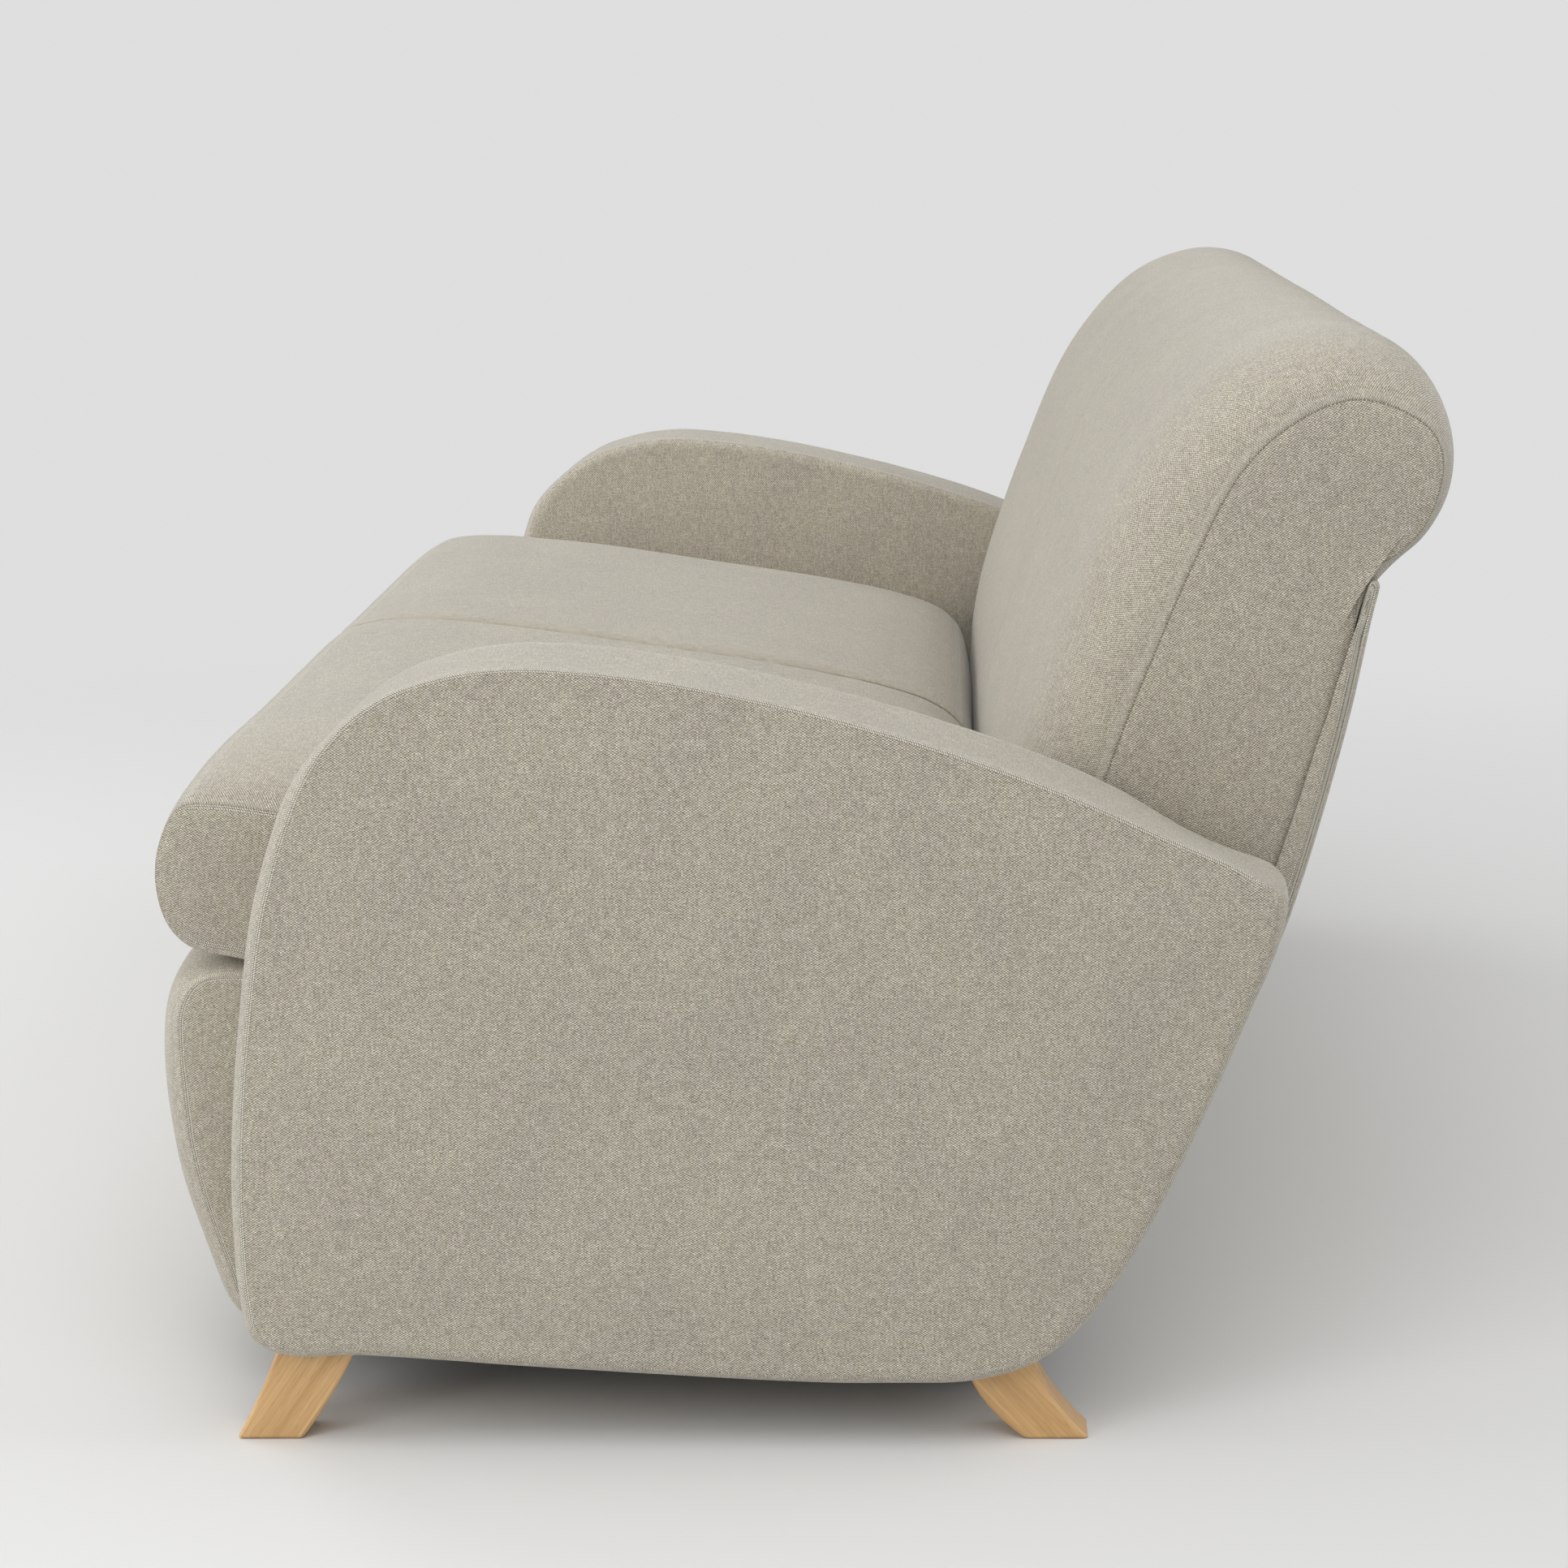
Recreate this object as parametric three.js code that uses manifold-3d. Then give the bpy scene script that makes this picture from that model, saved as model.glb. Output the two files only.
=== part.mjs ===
// Two-seat upholstered sofa: slab arms with an arched outline, a back that rolls over at the top,
// two loose seat cushions, and four splayed wooden feet, on a hardwood and plywood frame with springs.
// Units are millimetres and +Z is up. The front of the sofa faces -Y and its length runs along X.
// The origin is on the floor, under the middle of the sofa's outline box.

import * as THREE from 'three'
import { mergeVertices } from 'three/addons/utils/BufferGeometryUtils.js'
import Module from 'manifold-3d'

const wasm = await Module()
wasm.setup()

// Driving dimensions of the whole sofa
const seatWidth = 1384          // clear width between the two arms
const armThickness = 116
const overallDepth = 957        // front of the padded rail to the rear of the rolled top
const backHeight = 776          // floor to the top of the roll
const armHeight = 569           // floor to the crest of the arm
const armSetback = 85           // the arm's front edge lies this far behind the padded rail
const armRearSetback = 135      // the arm's rear edge lies this far ahead of the rolled top's rear
const armUndersideHeight = 49   // floor to the lowest point of the arm
const seatFrontHeight = 335     // floor to the underside of a cushion at its front
const seatPitch = 8.3           // degrees, the seat falls towards the back
const cushionSetback = 18.5     // the seat's front edge line lies this far behind the padded rail
const cushionThickness = 155    // underside to crown
const baseBottom = 47           // floor to the underside of the base frame
const fitGap = 0.35             // clearance between pieces that touch

// Boards, wire and hardware
const railThickness = 25
const plyThickness = 12
const postThickness = 30
const deckThickness = 14
const springWire = 3.8
const boltRadius = 4
const boltHeadRadius = 8
const boltHeadHeight = 5
const holeGap = 0.4             // radial clearance of a bolt in its hole

const halfSeat = seatWidth / 2
const frontY = -overallDepth / 2
const armLength = overallDepth - armSetback - armRearSetback
const pitch = THREE.MathUtils.degToRad(seatPitch)
const cutOverrun = railThickness

// Materials
const linen = () => new THREE.MeshStandardMaterial({ color: 0xb9b1a1, roughness: 0.95, metalness: 0 })
const oak = () => new THREE.MeshStandardMaterial({ color: 0xdcb679, roughness: 0.5, metalness: 0 })
const beech = () => new THREE.MeshStandardMaterial({ color: 0xcfae84, roughness: 0.7, metalness: 0 })
const plywood = () => new THREE.MeshStandardMaterial({ color: 0xd8bf98, roughness: 0.75, metalness: 0 })
const foam = () => new THREE.MeshStandardMaterial({ color: 0xe9e2c9, roughness: 0.98, metalness: 0 })
const felt = () => new THREE.MeshStandardMaterial({ color: 0x8d8f92, roughness: 1, metalness: 0 })
const webbing = () => new THREE.MeshStandardMaterial({ color: 0x54504a, roughness: 0.9, metalness: 0 })
const liningCloth = () => new THREE.MeshStandardMaterial({ color: 0x26262a, roughness: 0.95, metalness: 0 })
const steel = () => new THREE.MeshStandardMaterial({ color: 0x9aa0a6, roughness: 0.4, metalness: 0.9 })

const sofa = new THREE.Group()
const seat = new THREE.Group()
seat.position.set(0, frontY + cushionSetback, seatFrontHeight)
seat.rotation.x = -pitch
sofa.add(seat)

const add = (name, geometry, material, parent = sofa) => {
  const mesh = new THREE.Mesh(geometry, material)
  mesh.name = name
  parent.add(mesh)
  return mesh
}

// Outlines are drawn in the Y-Z plane as Vector2(y, z), anticlockwise seen from +X
const point = (y, z) => new THREE.Vector2(y, z)
const outlineToSpace = new THREE.Matrix4().makeBasis(
  new THREE.Vector3(0, 1, 0), new THREE.Vector3(0, 0, 1), new THREE.Vector3(1, 0, 0))

// A smooth closed outline through knots, with a number of steps from each knot to the next
const smooth = (knots, steps) => {
  const places = knots.map(knot => new THREE.Vector3(knot.x, knot.y, 0))
  const curve = new THREE.CatmullRomCurve3(places, true, 'centripetal')
  return curve.getPoints(knots.length * steps).slice(0, -1).map(p => point(p.x, p.y))
}

// The outline moved inwards by a distance, each point along its own normal
const inset = (outline, distance) => outline.map((p, i) => {
  const before = outline[(i + outline.length - 1) % outline.length]
  const after = outline[(i + 1) % outline.length]
  const along = after.clone().sub(before).normalize()
  return point(p.x - along.y * distance, p.y + along.x * distance)
})

const middleOf = outline => {
  const sum = outline.reduce((total, p) => total.add(p), point(0, 0))
  return sum.divideScalar(outline.length)
}

const shrunk = (outline, share) => {
  const middle = middleOf(outline)
  return outline.map(p => p.clone().lerp(middle, share))
}

const blended = (outline, other, share) => outline.map((p, i) => p.clone().lerp(other[i], share))

// A closed skin over a row of outlines, each [x, outline], in order of x
const loft = rings => {
  const count = rings[0][1].length
  const positions = rings.flatMap(([x, outline]) => outline.flatMap(p => [x, p.x, p.y]))
  const index = []
  for (let ring = 0; ring < rings.length - 1; ring++) {
    for (let i = 0; i < count; i++) {
      const a = ring * count + i
      const b = ring * count + (i + 1) % count
      index.push(a, b, b + count, a, b + count, a + count)
    }
  }
  const lastStart = (rings.length - 1) * count
  for (const [a, b, c] of THREE.ShapeUtils.triangulateShape(rings[0][1], [])) index.push(a, c, b)
  for (const [a, b, c] of THREE.ShapeUtils.triangulateShape(rings.at(-1)[1], [])) {
    index.push(lastStart + a, lastStart + b, lastStart + c)
  }
  const geometry = new THREE.BufferGeometry()
  geometry.setAttribute('position', new THREE.Float32BufferAttribute(positions, 3))
  geometry.setIndex(index)
  return geometry
}

// A board cut to an outline, between two places along X
const board = (outline, fromX, toX) => {
  const shape = new THREE.Shape(outline)
  const geometry = new THREE.ExtrudeGeometry(shape, { depth: toX - fromX, bevelEnabled: false })
  geometry.applyMatrix4(outlineToSpace)
  geometry.translate(fromX, 0, 0)
  return geometry
}

const block = (fromX, toX, fromY, toY, fromZ, toZ) => {
  const geometry = new THREE.BoxGeometry(toX - fromX, toY - fromY, toZ - fromZ)
  geometry.translate((fromX + toX) / 2, (fromY + toY) / 2, (fromZ + toZ) / 2)
  return geometry
}

const mirrored = geometry => {
  const copy = geometry.index ? geometry.toNonIndexed() : geometry.clone()
  const place = copy.attributes.position
  for (let i = 0; i < place.count; i += 3) {
    const corner = new THREE.Vector3().fromBufferAttribute(place, i + 1)
    const other = new THREE.Vector3().fromBufferAttribute(place, i + 2)
    place.setXYZ(i, -place.getX(i), place.getY(i), place.getZ(i))
    place.setXYZ(i + 1, -other.x, other.y, other.z)
    place.setXYZ(i + 2, -corner.x, corner.y, corner.z)
  }
  return copy
}

// Boolean cuts
const toSolid = geometry => {
  const bare = geometry.clone()
  bare.deleteAttribute('normal')
  bare.deleteAttribute('uv')
  const merged = mergeVertices(bare)
  return new wasm.Manifold(new wasm.Mesh({
    numProp: 3,
    vertProperties: new Float32Array(merged.attributes.position.array),
    triVerts: new Uint32Array(merged.index.array),
  }))
}

const toGeometry = solid => {
  const mesh = solid.getMesh()
  const geometry = new THREE.BufferGeometry()
  geometry.setAttribute('position', new THREE.BufferAttribute(mesh.vertProperties, 3))
  geometry.setIndex(new THREE.BufferAttribute(mesh.triVerts, 1))
  return geometry
}

const joined = (geometry, other) => toGeometry(toSolid(geometry).add(toSolid(other)))
const cut = (geometry, cutters) =>
  toGeometry(cutters.reduce((solid, cutter) => solid.subtract(toSolid(cutter)), toSolid(geometry)))

// The underside of an outline at a place along Y, and between two places
const undersideAt = (outline, y) => {
  const heights = outline.flatMap((p, i) => {
    const q = outline[(i + 1) % outline.length]
    if ((p.x - y) * (q.x - y) > 0 || p.x === q.x) return []
    return [THREE.MathUtils.lerp(p.y, q.y, (y - p.x) / (q.x - p.x))]
  })
  return point(y, Math.min(...heights))
}
const undersideBetween = (outline, fromY, toY) => {
  const inside = outline.filter(p => p.x > fromY && p.x < toY && p.y <= undersideAt(outline, p.x).y)
  inside.sort((p, q) => p.x - q.x)
  return [undersideAt(outline, fromY), ...inside, undersideAt(outline, toY)]
}

// The line down the rear of the back, where the outer back panel meets the frame and the padding.
// Shares of overallDepth from the front, and of backHeight from the floor.
const rakeShares = [
  [0.704, 0.090], [0.732, 0.130], [0.769, 0.200], [0.806, 0.291],
  [0.843, 0.406], [0.870, 0.513], [0.902, 0.647], [0.930, 0.782], [0.954, 0.890],
]
const alongDepth = share => frontY + share * overallDepth
const rake = rakeShares.map(([alongShare, upShare]) => point(alongDepth(alongShare), upShare * backHeight))
const rakeAt = z => {
  const upper = Math.max(1, rake.findIndex(p => p.y >= z))
  const [low, high] = [rake[upper - 1], rake[upper]]
  return THREE.MathUtils.mapLinear(z, low.y, high.y, low.x, high.x)
}
const rakeBetween = (lowZ, highZ) => [
  point(rakeAt(lowZ), lowZ),
  ...rake.filter(p => p.y > lowZ && p.y < highZ),
  point(rakeAt(highZ), highZ),
]

// Seat lines. The seat group's own y runs rearwards along the seat, and its z is square to it.
const seatY = frontY + cushionSetback
const seatUndersideAt = y => seatFrontHeight - (y - seatY) * Math.tan(pitch)
const railTopAt = y => seatUndersideAt(y) - (deckThickness + springWire + 3 * fitGap) / Math.cos(pitch)

// Back padding. Its outline at the middle and at the side seams share their knots, so that the ends
// of the back round over from one to the other like a pillow. Shares of overallDepth from the front,
// and of the padding's own height from its underside.
const backSeatGap = 15          // from the seat line, at the face of the back, to the padding's underside
const backMiddleShares = [
  [0.657, 0.000], [0.647, 0.171], [0.655, 0.292], [0.675, 0.429], [0.708, 0.601], [0.742, 0.755],
  [0.776, 0.856], [0.830, 0.955], [0.902, 1.000], [0.960, 0.974], [0.992, 0.891], [1.000, 0.798],
  [0.984, 0.722], [0.950, 0.678],
]
const backSeamShares = [
  [0.713, 0.000], [0.715, 0.171], [0.722, 0.307], [0.738, 0.415], [0.770, 0.571], [0.804, 0.722],
  [0.832, 0.820], [0.868, 0.884], [0.913, 0.920], [0.950, 0.906], [0.975, 0.872], [0.984, 0.798],
  [0.972, 0.728], [0.946, 0.680],
]
const rearKnotShares = [0.671, 0.467, 0.264, 0.103]
const backEndRound = 140        // length of the rounding at each end of the back
const backEndDome = 6           // how far the side panels bulge
const backSideGap = 1.2         // between a side panel's bulge and the arm
const roundingShares = [0, 0.35, 0.6, 0.8, 0.93, 1]
const domeShares = [[0.05, 0.6], [0.16, 0.9], [0.4, 1]]
const outlineSteps = 2

const backSeamX = halfSeat - backSideGap - backEndDome
const backFaceY = Math.min(...backMiddleShares.map(([alongShare]) => alongDepth(alongShare)))
const backBottomZ = seatUndersideAt(backFaceY) + backSeatGap
const upBack = share => THREE.MathUtils.lerp(backBottomZ, backHeight, share)
const onBack = ([alongShare, upShare]) => point(alongDepth(alongShare), upBack(upShare))
const padOutline = knotShares => {
  const rear = rearKnotShares.map(share => point(rakeAt(upBack(share)), upBack(share)))
  const bottom = point(rakeAt(backBottomZ), backBottomZ)
  const knots = [...knotShares.map(onBack), ...rear, bottom]
  return smooth(knots, outlineSteps).reverse()
}
const backMiddle = padOutline(backMiddleShares)
const backSeam = padOutline(backSeamShares)

// Rings of one pillow end, from the flat middle to the top of the domed side panel
const pillowEnd = (middle, seam, fromX, seamX, dome, steps = roundingShares) => {
  const side = Math.sign(seamX)
  const rounding = steps.map(share => [
    THREE.MathUtils.lerp(fromX, seamX, share),
    blended(seam, middle, Math.sqrt(1 - share * share)),
  ])
  const panel = domeShares.map(([inShare, outShare]) =>
    [seamX + side * dome * outShare, shrunk(seam, inShare)])
  return [...rounding, ...panel]
}

// Frame of the back: posts cut from thick board, two rails and three webbing straps
const postDepth = 48
const postBottomRise = 50       // from the underside of the base frame to the foot of a post
const postTopShare = 0.789      // these shares are of the padding's height, from its underside
const topRailShares = [0.698, 0.789]
const lowerRailShares = [0.033, 0.154]
const strapShares = [0.245, 0.396, 0.547]
const postKneeHeight = 62       // the post bends forward over this height, just below the padding
const postKneeGap = 2
const postFootDepth = 51
const postSideInset = 62        // from a side seam of the back to the outer post
const railDepth = 24
const strapThickness = 3
const strapHeight = 50

const postBottomZ = baseBottom + postBottomRise
const postTopZ = upBack(postTopShare)
const postFrontY = rakeAt(rake[1].y) - postFootDepth
const postOutline = () => {
  const kneeTop = backBottomZ - postKneeGap
  const rear = rakeBetween(postBottomZ, postTopZ)
  const front = rakeBetween(kneeTop, postTopZ).reverse().map(p => point(p.x - postDepth, p.y))
  return [...rear, ...front, point(postFrontY, kneeTop - postKneeHeight), point(postFrontY, postBottomZ)]
}

// A strip that follows the rake between two heights, from one depth in front of it to another
const rakeStrip = (lowZ, highZ, nearDepth, farDepth) => {
  const line = rakeBetween(lowZ, highZ)
  const rear = line.map(p => point(p.x - nearDepth, p.y))
  const front = line.map(p => point(p.x - farDepth, p.y)).reverse()
  return [...rear, ...front]
}

const postPlaces = {
  left: -backSeamX + postSideInset,
  middle: 0,
  right: backSeamX - postSideInset,
}
const postRange = x => [x - postThickness / 2, x + postThickness / 2]
const postSlots = []
for (const [side, x] of Object.entries(postPlaces)) {
  const [fromX, toX] = postRange(x)
  add(`back_post_${side}`, board(postOutline(), fromX, toX), beech())
  const grown = rakeStrip(postBottomZ, postTopZ + fitGap, -fitGap, postDepth + fitGap)
  postSlots.push(board(grown, fromX - fitGap, toX + fitGap))
}

// The rails and straps lie across the front faces of the posts
const backRails = { back_top_rail: topRailShares, back_lower_rail: lowerRailShares }
const outerPostX = postPlaces.right + postThickness / 2
const crossSlots = []
for (const [name, heightShares] of Object.entries(backRails)) {
  const [lowZ, highZ] = heightShares.map(upBack)
  const nearDepth = postDepth + fitGap
  const outline = rakeStrip(lowZ, highZ, nearDepth, nearDepth + railDepth)
  add(name, board(outline, -outerPostX, outerPostX), beech())
  const slot = rakeStrip(lowZ - fitGap, highZ + fitGap, postDepth, nearDepth + railDepth + fitGap)
  crossSlots.push(board(slot, -outerPostX - fitGap, outerPostX + fitGap))
}
strapShares.forEach((share, i) => {
  const lowZ = upBack(share)
  const highZ = lowZ + strapHeight
  const nearDepth = postDepth + fitGap
  const outline = rakeStrip(lowZ, highZ, nearDepth, nearDepth + strapThickness)
  add(`back_strap_${i + 1}`, board(outline, -outerPostX, outerPostX), webbing())
  const slot = rakeStrip(lowZ - fitGap, highZ + fitGap, postDepth, nearDepth + strapThickness + fitGap)
  crossSlots.push(board(slot, -outerPostX - fitGap, outerPostX + fitGap))
})

const backPadRings = [
  ...pillowEnd(backMiddle, backSeam, backEndRound - backSeamX, -backSeamX, backEndDome).reverse(),
  ...pillowEnd(backMiddle, backSeam, backSeamX - backEndRound, backSeamX, backEndDome),
]
const notchZ = upBack(rearKnotShares[0])
const rearTrim = board(rakeStrip(postBottomZ, notchZ, -overallDepth, 0), -halfSeat, halfSeat)
const bottomTrim = block(-halfSeat, halfSeat, frontY, frontY + overallDepth, 0, backBottomZ)
add('back_pad', cut(loft(backPadRings), [rearTrim, bottomTrim, ...postSlots, ...crossSlots]), linen())

// Outer back: a stiffened fabric panel that closes the rear from under the roll to the base
const outerPanelThickness = 10
const outerPanelSideGap = 2     // between the panel's edge and the arm
const outerPanelTopShare = 0.668
const outerPanelRise = 15       // from the underside of the base frame to the panel's lower edge
const outerPanelEdge = 4
const outerPanelX = halfSeat - outerPanelSideGap
const outerBottomZ = baseBottom + outerPanelRise
const outerTopZ = upBack(outerPanelTopShare)
const panelRings = [
  [-outerPanelX, outerPanelEdge],
  [-outerPanelX + outerPanelEdge, 0],
  [outerPanelX - outerPanelEdge, 0],
  [outerPanelX, outerPanelEdge],
].map(([x, thinned]) =>
  [x, rakeStrip(outerBottomZ, outerTopZ, thinned - fitGap - outerPanelThickness, -fitGap)])
const cheekDepth = 30
const cheekThickness = 10
const cheekOutline = rakeStrip(rake[1].y, backBottomZ - fitGap, -outerPanelThickness / 2, cheekDepth)
const panelWithCheeks = [-1, 1].reduce((panel, side) => {
  const edges = [side * outerPanelX, side * (outerPanelX - cheekThickness)]
  return joined(panel, board(cheekOutline, Math.min(...edges), Math.max(...edges)))
}, loft(panelRings))
add('outer_back_panel', panelWithCheeks, linen())

// The cushions reach back to the front face of the back padding, and lift out straight up past it
const cushionRearGap = 1.5
const cushionRearBulgeShare = 0.45
const cushionRearLean = cushionRearBulgeShare * cushionThickness * Math.sin(pitch)
const cushionDepth = (backFaceY - seatY - cushionRearLean) / Math.cos(pitch) - cushionRearGap

// Seat cushions. Shares of cushionDepth along the seat, and of cushionThickness up from it.
const cushionMiddleShares = [
  [0.090, 0], [0.036, 0.022], [0.008, 0.118], [-0.010, 0.270], [-0.016, 0.450], [-0.012, 0.630],
  [0.004, 0.800], [0.050, 0.905], [0.110, 0.962], [0.210, 0.995], [0.500, 1.010], [0.730, 0.998],
  [0.850, 0.965], [0.920, 0.905], [0.965, 0.800], [0.988, 0.640], [1.000, 0.420], [0.985, 0.180],
  [0.955, 0.030], [0.900, 0],
]
const cushionSeamShares = [
  [0.090, 0.030], [0.040, 0.055], [0.016, 0.125], [-0.004, 0.270], [-0.010, 0.430], [-0.004, 0.590],
  [0.010, 0.710], [0.050, 0.745], [0.110, 0.752], [0.210, 0.755], [0.500, 0.755], [0.730, 0.752],
  [0.850, 0.740], [0.920, 0.715], [0.960, 0.650], [0.980, 0.540], [0.985, 0.400], [0.975, 0.200],
  [0.950, 0.060], [0.900, 0.030],
]
const cushionSideGap = 1.2      // between a cushion and the arm, and half of it at the middle
const cushionEndDome = 5
const cushionEndRound = 95      // length of the rounding beside the arm
const cushionMiddleRound = 30   // length of the rounding where the two cushions meet
const sidePullIn = 3            // the long sides pull in between the corners
const cushionWall = 13          // cover and its wadding
const cushionSides = { left: -1, right: 1 }

const onCushion = ([alongShare, upShare]) => point(alongShare * cushionDepth, upShare * cushionThickness)
const cushionMiddle = smooth(cushionMiddleShares.map(onCushion), 1).reverse()
const cushionSeam = smooth(cushionSeamShares.map(onCushion), 1).reverse()
const pulledIn = (outline, share) => {
  const front = Math.min(...outline.map(p => p.x))
  const rear = Math.max(...outline.map(p => p.x))
  return outline.map(p => {
    const alongShare = THREE.MathUtils.mapLinear(p.x, front, rear, -1, 1)
    return point(p.x - alongShare * sidePullIn * share, p.y)
  })
}

// Rings of the right-hand cushion from the sofa's middle to the arm, moved in by a wall thickness
const cushionRings = (wall, pulls, steps) => {
  const innerX = cushionSideGap / 2 + cushionEndDome + wall
  const outerX = halfSeat - cushionSideGap - cushionEndDome - wall
  const middle = inset(cushionMiddle, wall)
  const seam = inset(cushionSeam, wall)
  const inner = pillowEnd(middle, seam, innerX + cushionMiddleRound, innerX, -cushionEndDome, steps)
  const outer = pillowEnd(middle, seam, outerX - cushionEndRound, outerX, cushionEndDome, steps)
  const centre = [(innerX + outerX) / 2, pulledIn(middle, pulls)]
  return [...inner.reverse(), centre, ...outer]
}

const zipLengthShare = 0.6
const zipHeight = 6
const zipUpShare = 0.42
const zipRecess = 1
const coreRoundingShares = [0, 0.75, 1]
const coverForm = loft(cushionRings(0, 1, roundingShares))
const cavityForm = loft(cushionRings(cushionWall, 0, coreRoundingShares))
const coreForm = loft(cushionRings(cushionWall + fitGap, 0, coreRoundingShares))
const cushionMidX = halfSeat / 2
const zipHalf = zipLengthShare * halfSeat / 2
const zipZ = zipUpShare * cushionThickness
const zipSlit = block(cushionMidX - zipHalf, cushionMidX + zipHalf,
  cushionDepth - 2 * cushionWall, cushionDepth + cutOverrun, zipZ - zipHeight / 2, zipZ + zipHeight / 2)
const zipForm = block(cushionMidX - zipHalf + fitGap, cushionMidX + zipHalf - fitGap,
  cushionDepth - cushionWall + fitGap, cushionDepth - sidePullIn - zipRecess,
  zipZ - zipHeight / 2 + fitGap, zipZ + zipHeight / 2 - fitGap)
const cushionCover = cut(coverForm, [cavityForm, zipSlit])
for (const [side, sign] of Object.entries(cushionSides)) {
  const placed = geometry => (sign > 0 ? geometry : mirrored(geometry))
  add(`seat_cushion_${side}`, placed(cushionCover), linen(), seat)
  add(`cushion_core_${side}`, placed(coreForm), foam(), seat)
  add(`cushion_zip_${side}`, placed(zipForm), webbing(), seat)
}

// Padded front rail. Shares of its own depth from the front, and of its height from the base.
const frontPadDepth = 102
const frontPadBottom = 43
const frontPadCrestShare = 0.5  // the cushions rest on the pad behind this line
const frontPadTop = seatUndersideAt(frontY + frontPadCrestShare * frontPadDepth) - fitGap
const frontMiddleShares = [
  [1.00, 0.970], [0.51, 0.996], [0.25, 0.965], [0.08, 0.880], [0.01, 0.770], [0.00, 0.670],
  [0.03, 0.530], [0.08, 0.390], [0.17, 0.250], [0.26, 0.130], [0.36, 0.040], [0.49, 0.000], [1.00, 0.005],
]
const frontSeamShares = [
  [1.00, 0.960], [0.61, 0.975], [0.44, 0.965], [0.31, 0.900], [0.27, 0.780], [0.28, 0.670],
  [0.30, 0.530], [0.35, 0.390], [0.42, 0.250], [0.49, 0.150], [0.56, 0.070], [0.64, 0.030], [1.00, 0.020],
]
const frontEndRound = 85
const frontEndDome = 4
const frontSideGap = 0.8
const onFrontPad = ([alongShare, upShare]) =>
  point(frontY + alongShare * frontPadDepth, THREE.MathUtils.lerp(frontPadBottom, frontPadTop, upShare))
const frontMiddle = smooth(frontMiddleShares.map(onFrontPad), 1)
const frontSeam = smooth(frontSeamShares.map(onFrontPad), 1)
const frontSeamX = halfSeat - frontSideGap - frontEndDome
add('front_rail_pad', loft([
  ...pillowEnd(frontMiddle, frontSeam, frontEndRound - frontSeamX, -frontSeamX, frontEndDome).reverse(),
  ...pillowEnd(frontMiddle, frontSeam, frontSeamX - frontEndRound, frontSeamX, frontEndDome),
]), linen())

// Base frame
const frontRailFrontY = frontY + frontPadDepth + fitGap
const frontRailRearY = frontRailFrontY + railThickness
const rearRailRearY = postFrontY - fitGap
const rearRailFrontY = rearRailRearY - railThickness
const sideRailFrontY = frontRailRearY + fitGap
const sideRailRearY = rearRailFrontY - fitGap
const armInnerWall = 12         // padding on the inner face of an arm
const sideRailInset = 30
const sideRailInnerX = halfSeat - sideRailInset
const sideRailOuterX = halfSeat + armInnerWall - fitGap

const railOutline = (fromY, toY) => [
  point(fromY, baseBottom), point(toY, baseBottom),
  point(toY, railTopAt(toY)), point(fromY, railTopAt(fromY)),
]
const crossRailX = halfSeat - fitGap
const frontRail = railOutline(frontRailFrontY, frontRailRearY)
const rearRail = railOutline(rearRailFrontY, rearRailRearY)
const lengthwiseRail = railOutline(sideRailFrontY, sideRailRearY)
add('base_front_rail', board(frontRail, -crossRailX, crossRailX), beech())
add('base_rear_rail', board(rearRail, -crossRailX, crossRailX), beech())
add('base_middle_rail', board(lengthwiseRail, -railThickness / 2, railThickness / 2), beech())

// Bolts that join an arm to the base
const armBoltLength = 48
const armBoltPlaces = [
  { end: 'front', alongShare: 0.22, upShare: 0.5 },
  { end: 'rear', alongShare: 0.80, upShare: 0.5 },
]
const boltSides = 8
const rod = (radius, length) => new THREE.CylinderGeometry(radius, radius, length, boltSides)
const boltAlongX = (radius, fromX, toX, y, z) => {
  const geometry = rod(radius, toX - fromX)
  geometry.rotateZ(Math.PI / 2)
  geometry.translate((fromX + toX) / 2, y, z)
  return geometry
}
const armBolts = armBoltPlaces.map(({ end, alongShare, upShare }) => {
  const y = THREE.MathUtils.lerp(sideRailFrontY, sideRailRearY, alongShare)
  const z = THREE.MathUtils.lerp(baseBottom, railTopAt(sideRailRearY), upShare)
  const headX = sideRailInnerX - fitGap
  const shank = boltAlongX(boltRadius, headX - boltHeadHeight / 2, headX + armBoltLength, y, z)
  const head = boltAlongX(boltHeadRadius, headX - boltHeadHeight, headX, y, z)
  const hole = boltAlongX(boltRadius + holeGap, headX - cutOverrun, headX + armBoltLength + fitGap, y, z)
  return { end, form: joined(shank, head), hole }
})
const sideRail = cut(board(lengthwiseRail, sideRailInnerX, sideRailOuterX), armBolts.map(bolt => bolt.hole))

// Corner blocks, glued in the angle of two rails
const cornerLeg = 70
const cornerRise = 60           // from the underside of the rails to the blocks
const cornerHeight = 45
const cornerBlock = (railY, towards) => {
  const cornerX = sideRailInnerX - fitGap
  const cornerY = railY + towards * fitGap
  const plan = new THREE.Shape([
    point(cornerX, cornerY),
    point(cornerX, cornerY + towards * cornerLeg),
    point(cornerX - cornerLeg, cornerY),
  ])
  const geometry = new THREE.ExtrudeGeometry(plan, { depth: cornerHeight, bevelEnabled: false })
  geometry.translate(0, 0, baseBottom + cornerRise)
  return geometry
}
const cornerBlocks = { front: cornerBlock(frontRailRearY, 1), rear: cornerBlock(rearRailFrontY, -1) }

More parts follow.
